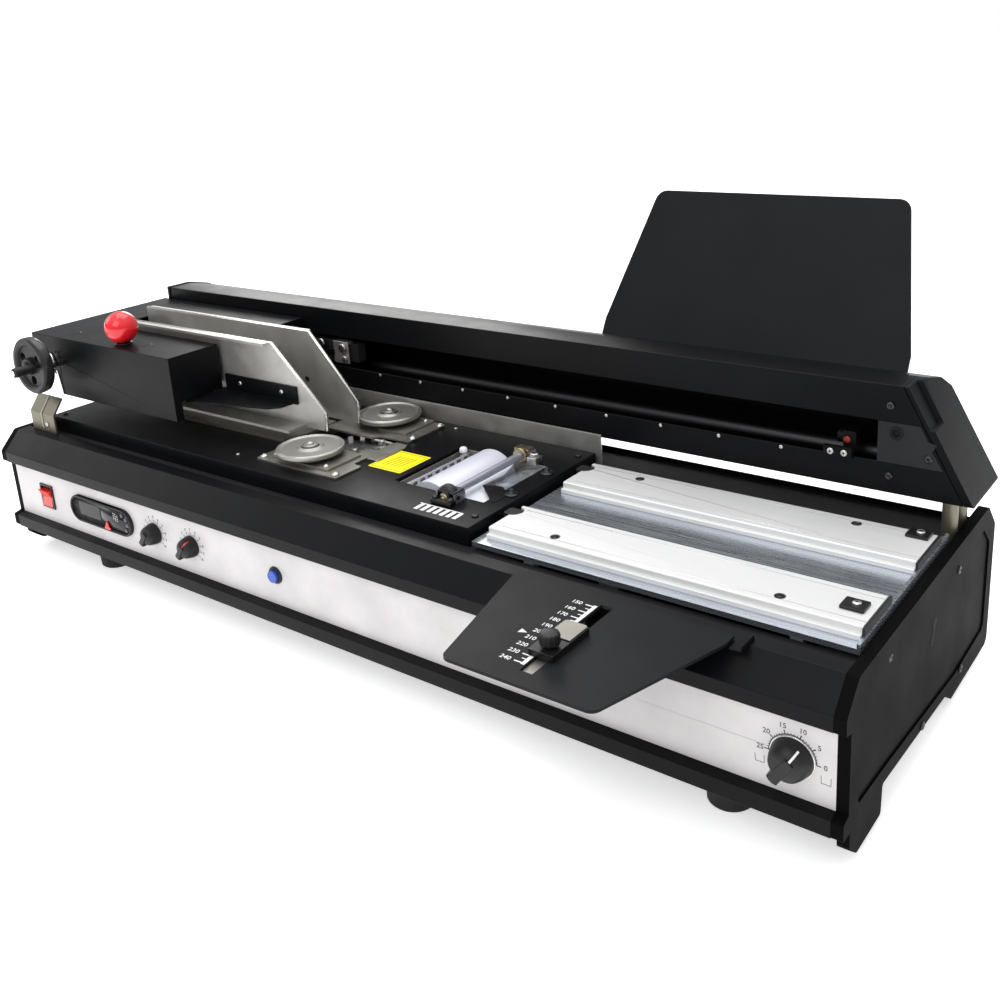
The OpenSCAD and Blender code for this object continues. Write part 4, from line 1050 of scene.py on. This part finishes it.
# Flat near-black sheets in the inlet's socket, painted shade in its hollows
bm = bmesh.new()
prism(bm, [(-213, 62), (-189, 62), (-189, 76), (-193, 81), (-209, 81), (-213, 76)], "Y", INLET_Y,
      INLET_Y + 0.15)
prism(bm, rounded_rect(-213, 85, -189, 92, 1), "Y", INLET_Y, INLET_Y + 0.15)
new_piece("inlet_socket_shade", bm, M["hole"], "base", smooth=False)
bm = bmesh.new()
for px, pz in ((-207, 70), (-201, 74), (-195, 70)):
    prism(bm, rounded_rect(px - 0.9, pz - 2.2, px + 0.9, pz + 2.2, 0.3, 2), "Y", INLET_Y, INLET_Y + 0.4)
new_piece("inlet_pins", bm, M["copper"], "base")
places = [(x0, REAR_Y, z0) for x0 in (-480, -240, 0, 240, 480) for z0 in (44, 114)]
places += [(-221, INLET_Y, 75), (-181, INLET_Y, 75)]
dome_screws("rear_screws", places, OUT_BACK, 3.0, 1.6, BLACKENED, "base")
dome_screws("rear_tray_screws", [(x0, 338.5, 226) for x0 in (175, 270, 370)], OUT_BACK, 3.2, 1.7, BLACKENED,
            "base")
places = [(x0, y0, 34) for x0 in (-490, -245, 0, 245, 490) for y0 in (30, 330)]
dome_screws("floor_screws", places, (0, 0, -1), 3.0, 1.4, ZINC, "base")
bm = bmesh.new()
for fx in (-374, 410):
    for fy in (42, 300):
        lathe(bm, [(0, 0.15), (5.5, 0.15), (5.5, 0.05), (3.2, 0.05)], (fx, fy, 0), UP, 24)
new_piece("foot_screws", bm, M["screw"], "base")

# ---------------------------------------------------------------- camera, floor and light

scene = bpy.context.scene
camera_data = bpy.data.cameras.new("camera")
camera = bpy.data.objects.new("camera", camera_data)
scene.collection.objects.link(camera)
camera.location = P(729.39, -603.14, 559.89)
camera.rotation_euler = [math.radians(a) for a in (73.0085, 3.3528, 36.6068)]
camera_data.lens = 39.92
camera_data.sensor_width = 36
camera_data.shift_x = -0.0189
camera_data.shift_y = -0.1257
camera_data.clip_start = 0.05
camera_data.clip_end = 100
scene.camera = camera

FLOOR_REACH = 14.0
bm = bmesh.new()
bmesh.ops.create_grid(bm, x_segments=1, y_segments=1, size=FLOOR_REACH)
floor_look = Shader("floor", (0.97, 0.97, 0.975), 0.9)
floor_look.tint(floor_look.noise(1.5), 0.01)
floor_look.bsdf.inputs["Emission Color"].default_value = (1, 1, 1, 1)
floor_look.bsdf.inputs["Emission Strength"].default_value = 0.5
floor = link_mesh("floor", bm, floor_look.mat)

# The camera sees a white backdrop; everything else sees a room that is darker near the horizon
world = bpy.data.worlds.new("studio")
scene.world = world
world.use_nodes = True
sky_nodes, sky_links = world.node_tree.nodes, world.node_tree.links
backdrop = sky_nodes["Background"]
backdrop.inputs["Color"].default_value = (1, 1, 1, 1)
backdrop.inputs["Strength"].default_value = 1.0
room = sky_nodes.new("ShaderNodeBackground")
height = sky_nodes.new("ShaderNodeSeparateXYZ")
sky_links.new(sky_nodes.new("ShaderNodeTexCoord").outputs["Generated"], height.inputs["Vector"])
shade = sky_nodes.new("ShaderNodeValToRGB")
shade.color_ramp.elements[0].position = 0.02
shade.color_ramp.elements[0].color = (0.24, 0.25, 0.265, 1)
shade.color_ramp.elements[1].position = 0.75
shade.color_ramp.elements[1].color = (1.0, 1.0, 1.0, 1)
sky_links.new(height.outputs["Z"], shade.inputs["Fac"])
sky_links.new(shade.outputs["Color"], room.inputs["Color"])
room.inputs["Strength"].default_value = 1.05
path = sky_nodes.new("ShaderNodeLightPath")
mix = sky_nodes.new("ShaderNodeMixShader")
sky_links.new(path.outputs["Is Camera Ray"], mix.inputs[0])
sky_links.new(room.outputs[0], mix.inputs[1])
sky_links.new(backdrop.outputs[0], mix.inputs[2])
sky_links.new(mix.outputs[0], sky_nodes["World Output"].inputs["Surface"])


def area_light(name, at, target, size, power, colour=(1, 1, 1)):
    """A square soft light at a place in metres, turned to a target."""
    data = bpy.data.lights.new(name, "AREA")
    data.shape = "RECTANGLE"
    data.size, data.size_y = size, size
    data.energy = power
    data.color = colour
    light = bpy.data.objects.new(name, data)
    scene.collection.objects.link(light)
    light.location = at
    light.rotation_euler = (Vector(target) - Vector(at)).to_track_quat("-Z", "Y").to_euler()


area_light("key", (0.3, -2.4, 2.2), (0, 0, 0.15), 2.0, 27)
area_light("top", (-0.5, 0.6, 2.6), (0, 0, 0.1), 2.2, 33, (0.97, 0.98, 1.0))
area_light("left", (-2.4, -0.6, 1.2), (0, 0, 0.15), 1.0, 6)
area_light("sheen", (-2.3, 2.3, 1.3), (-0.1, 0, 0.2), 1.3, 26, (1, 0.99, 0.97))
scene.view_settings.view_transform = "Standard"
scene.view_settings.look = "None"
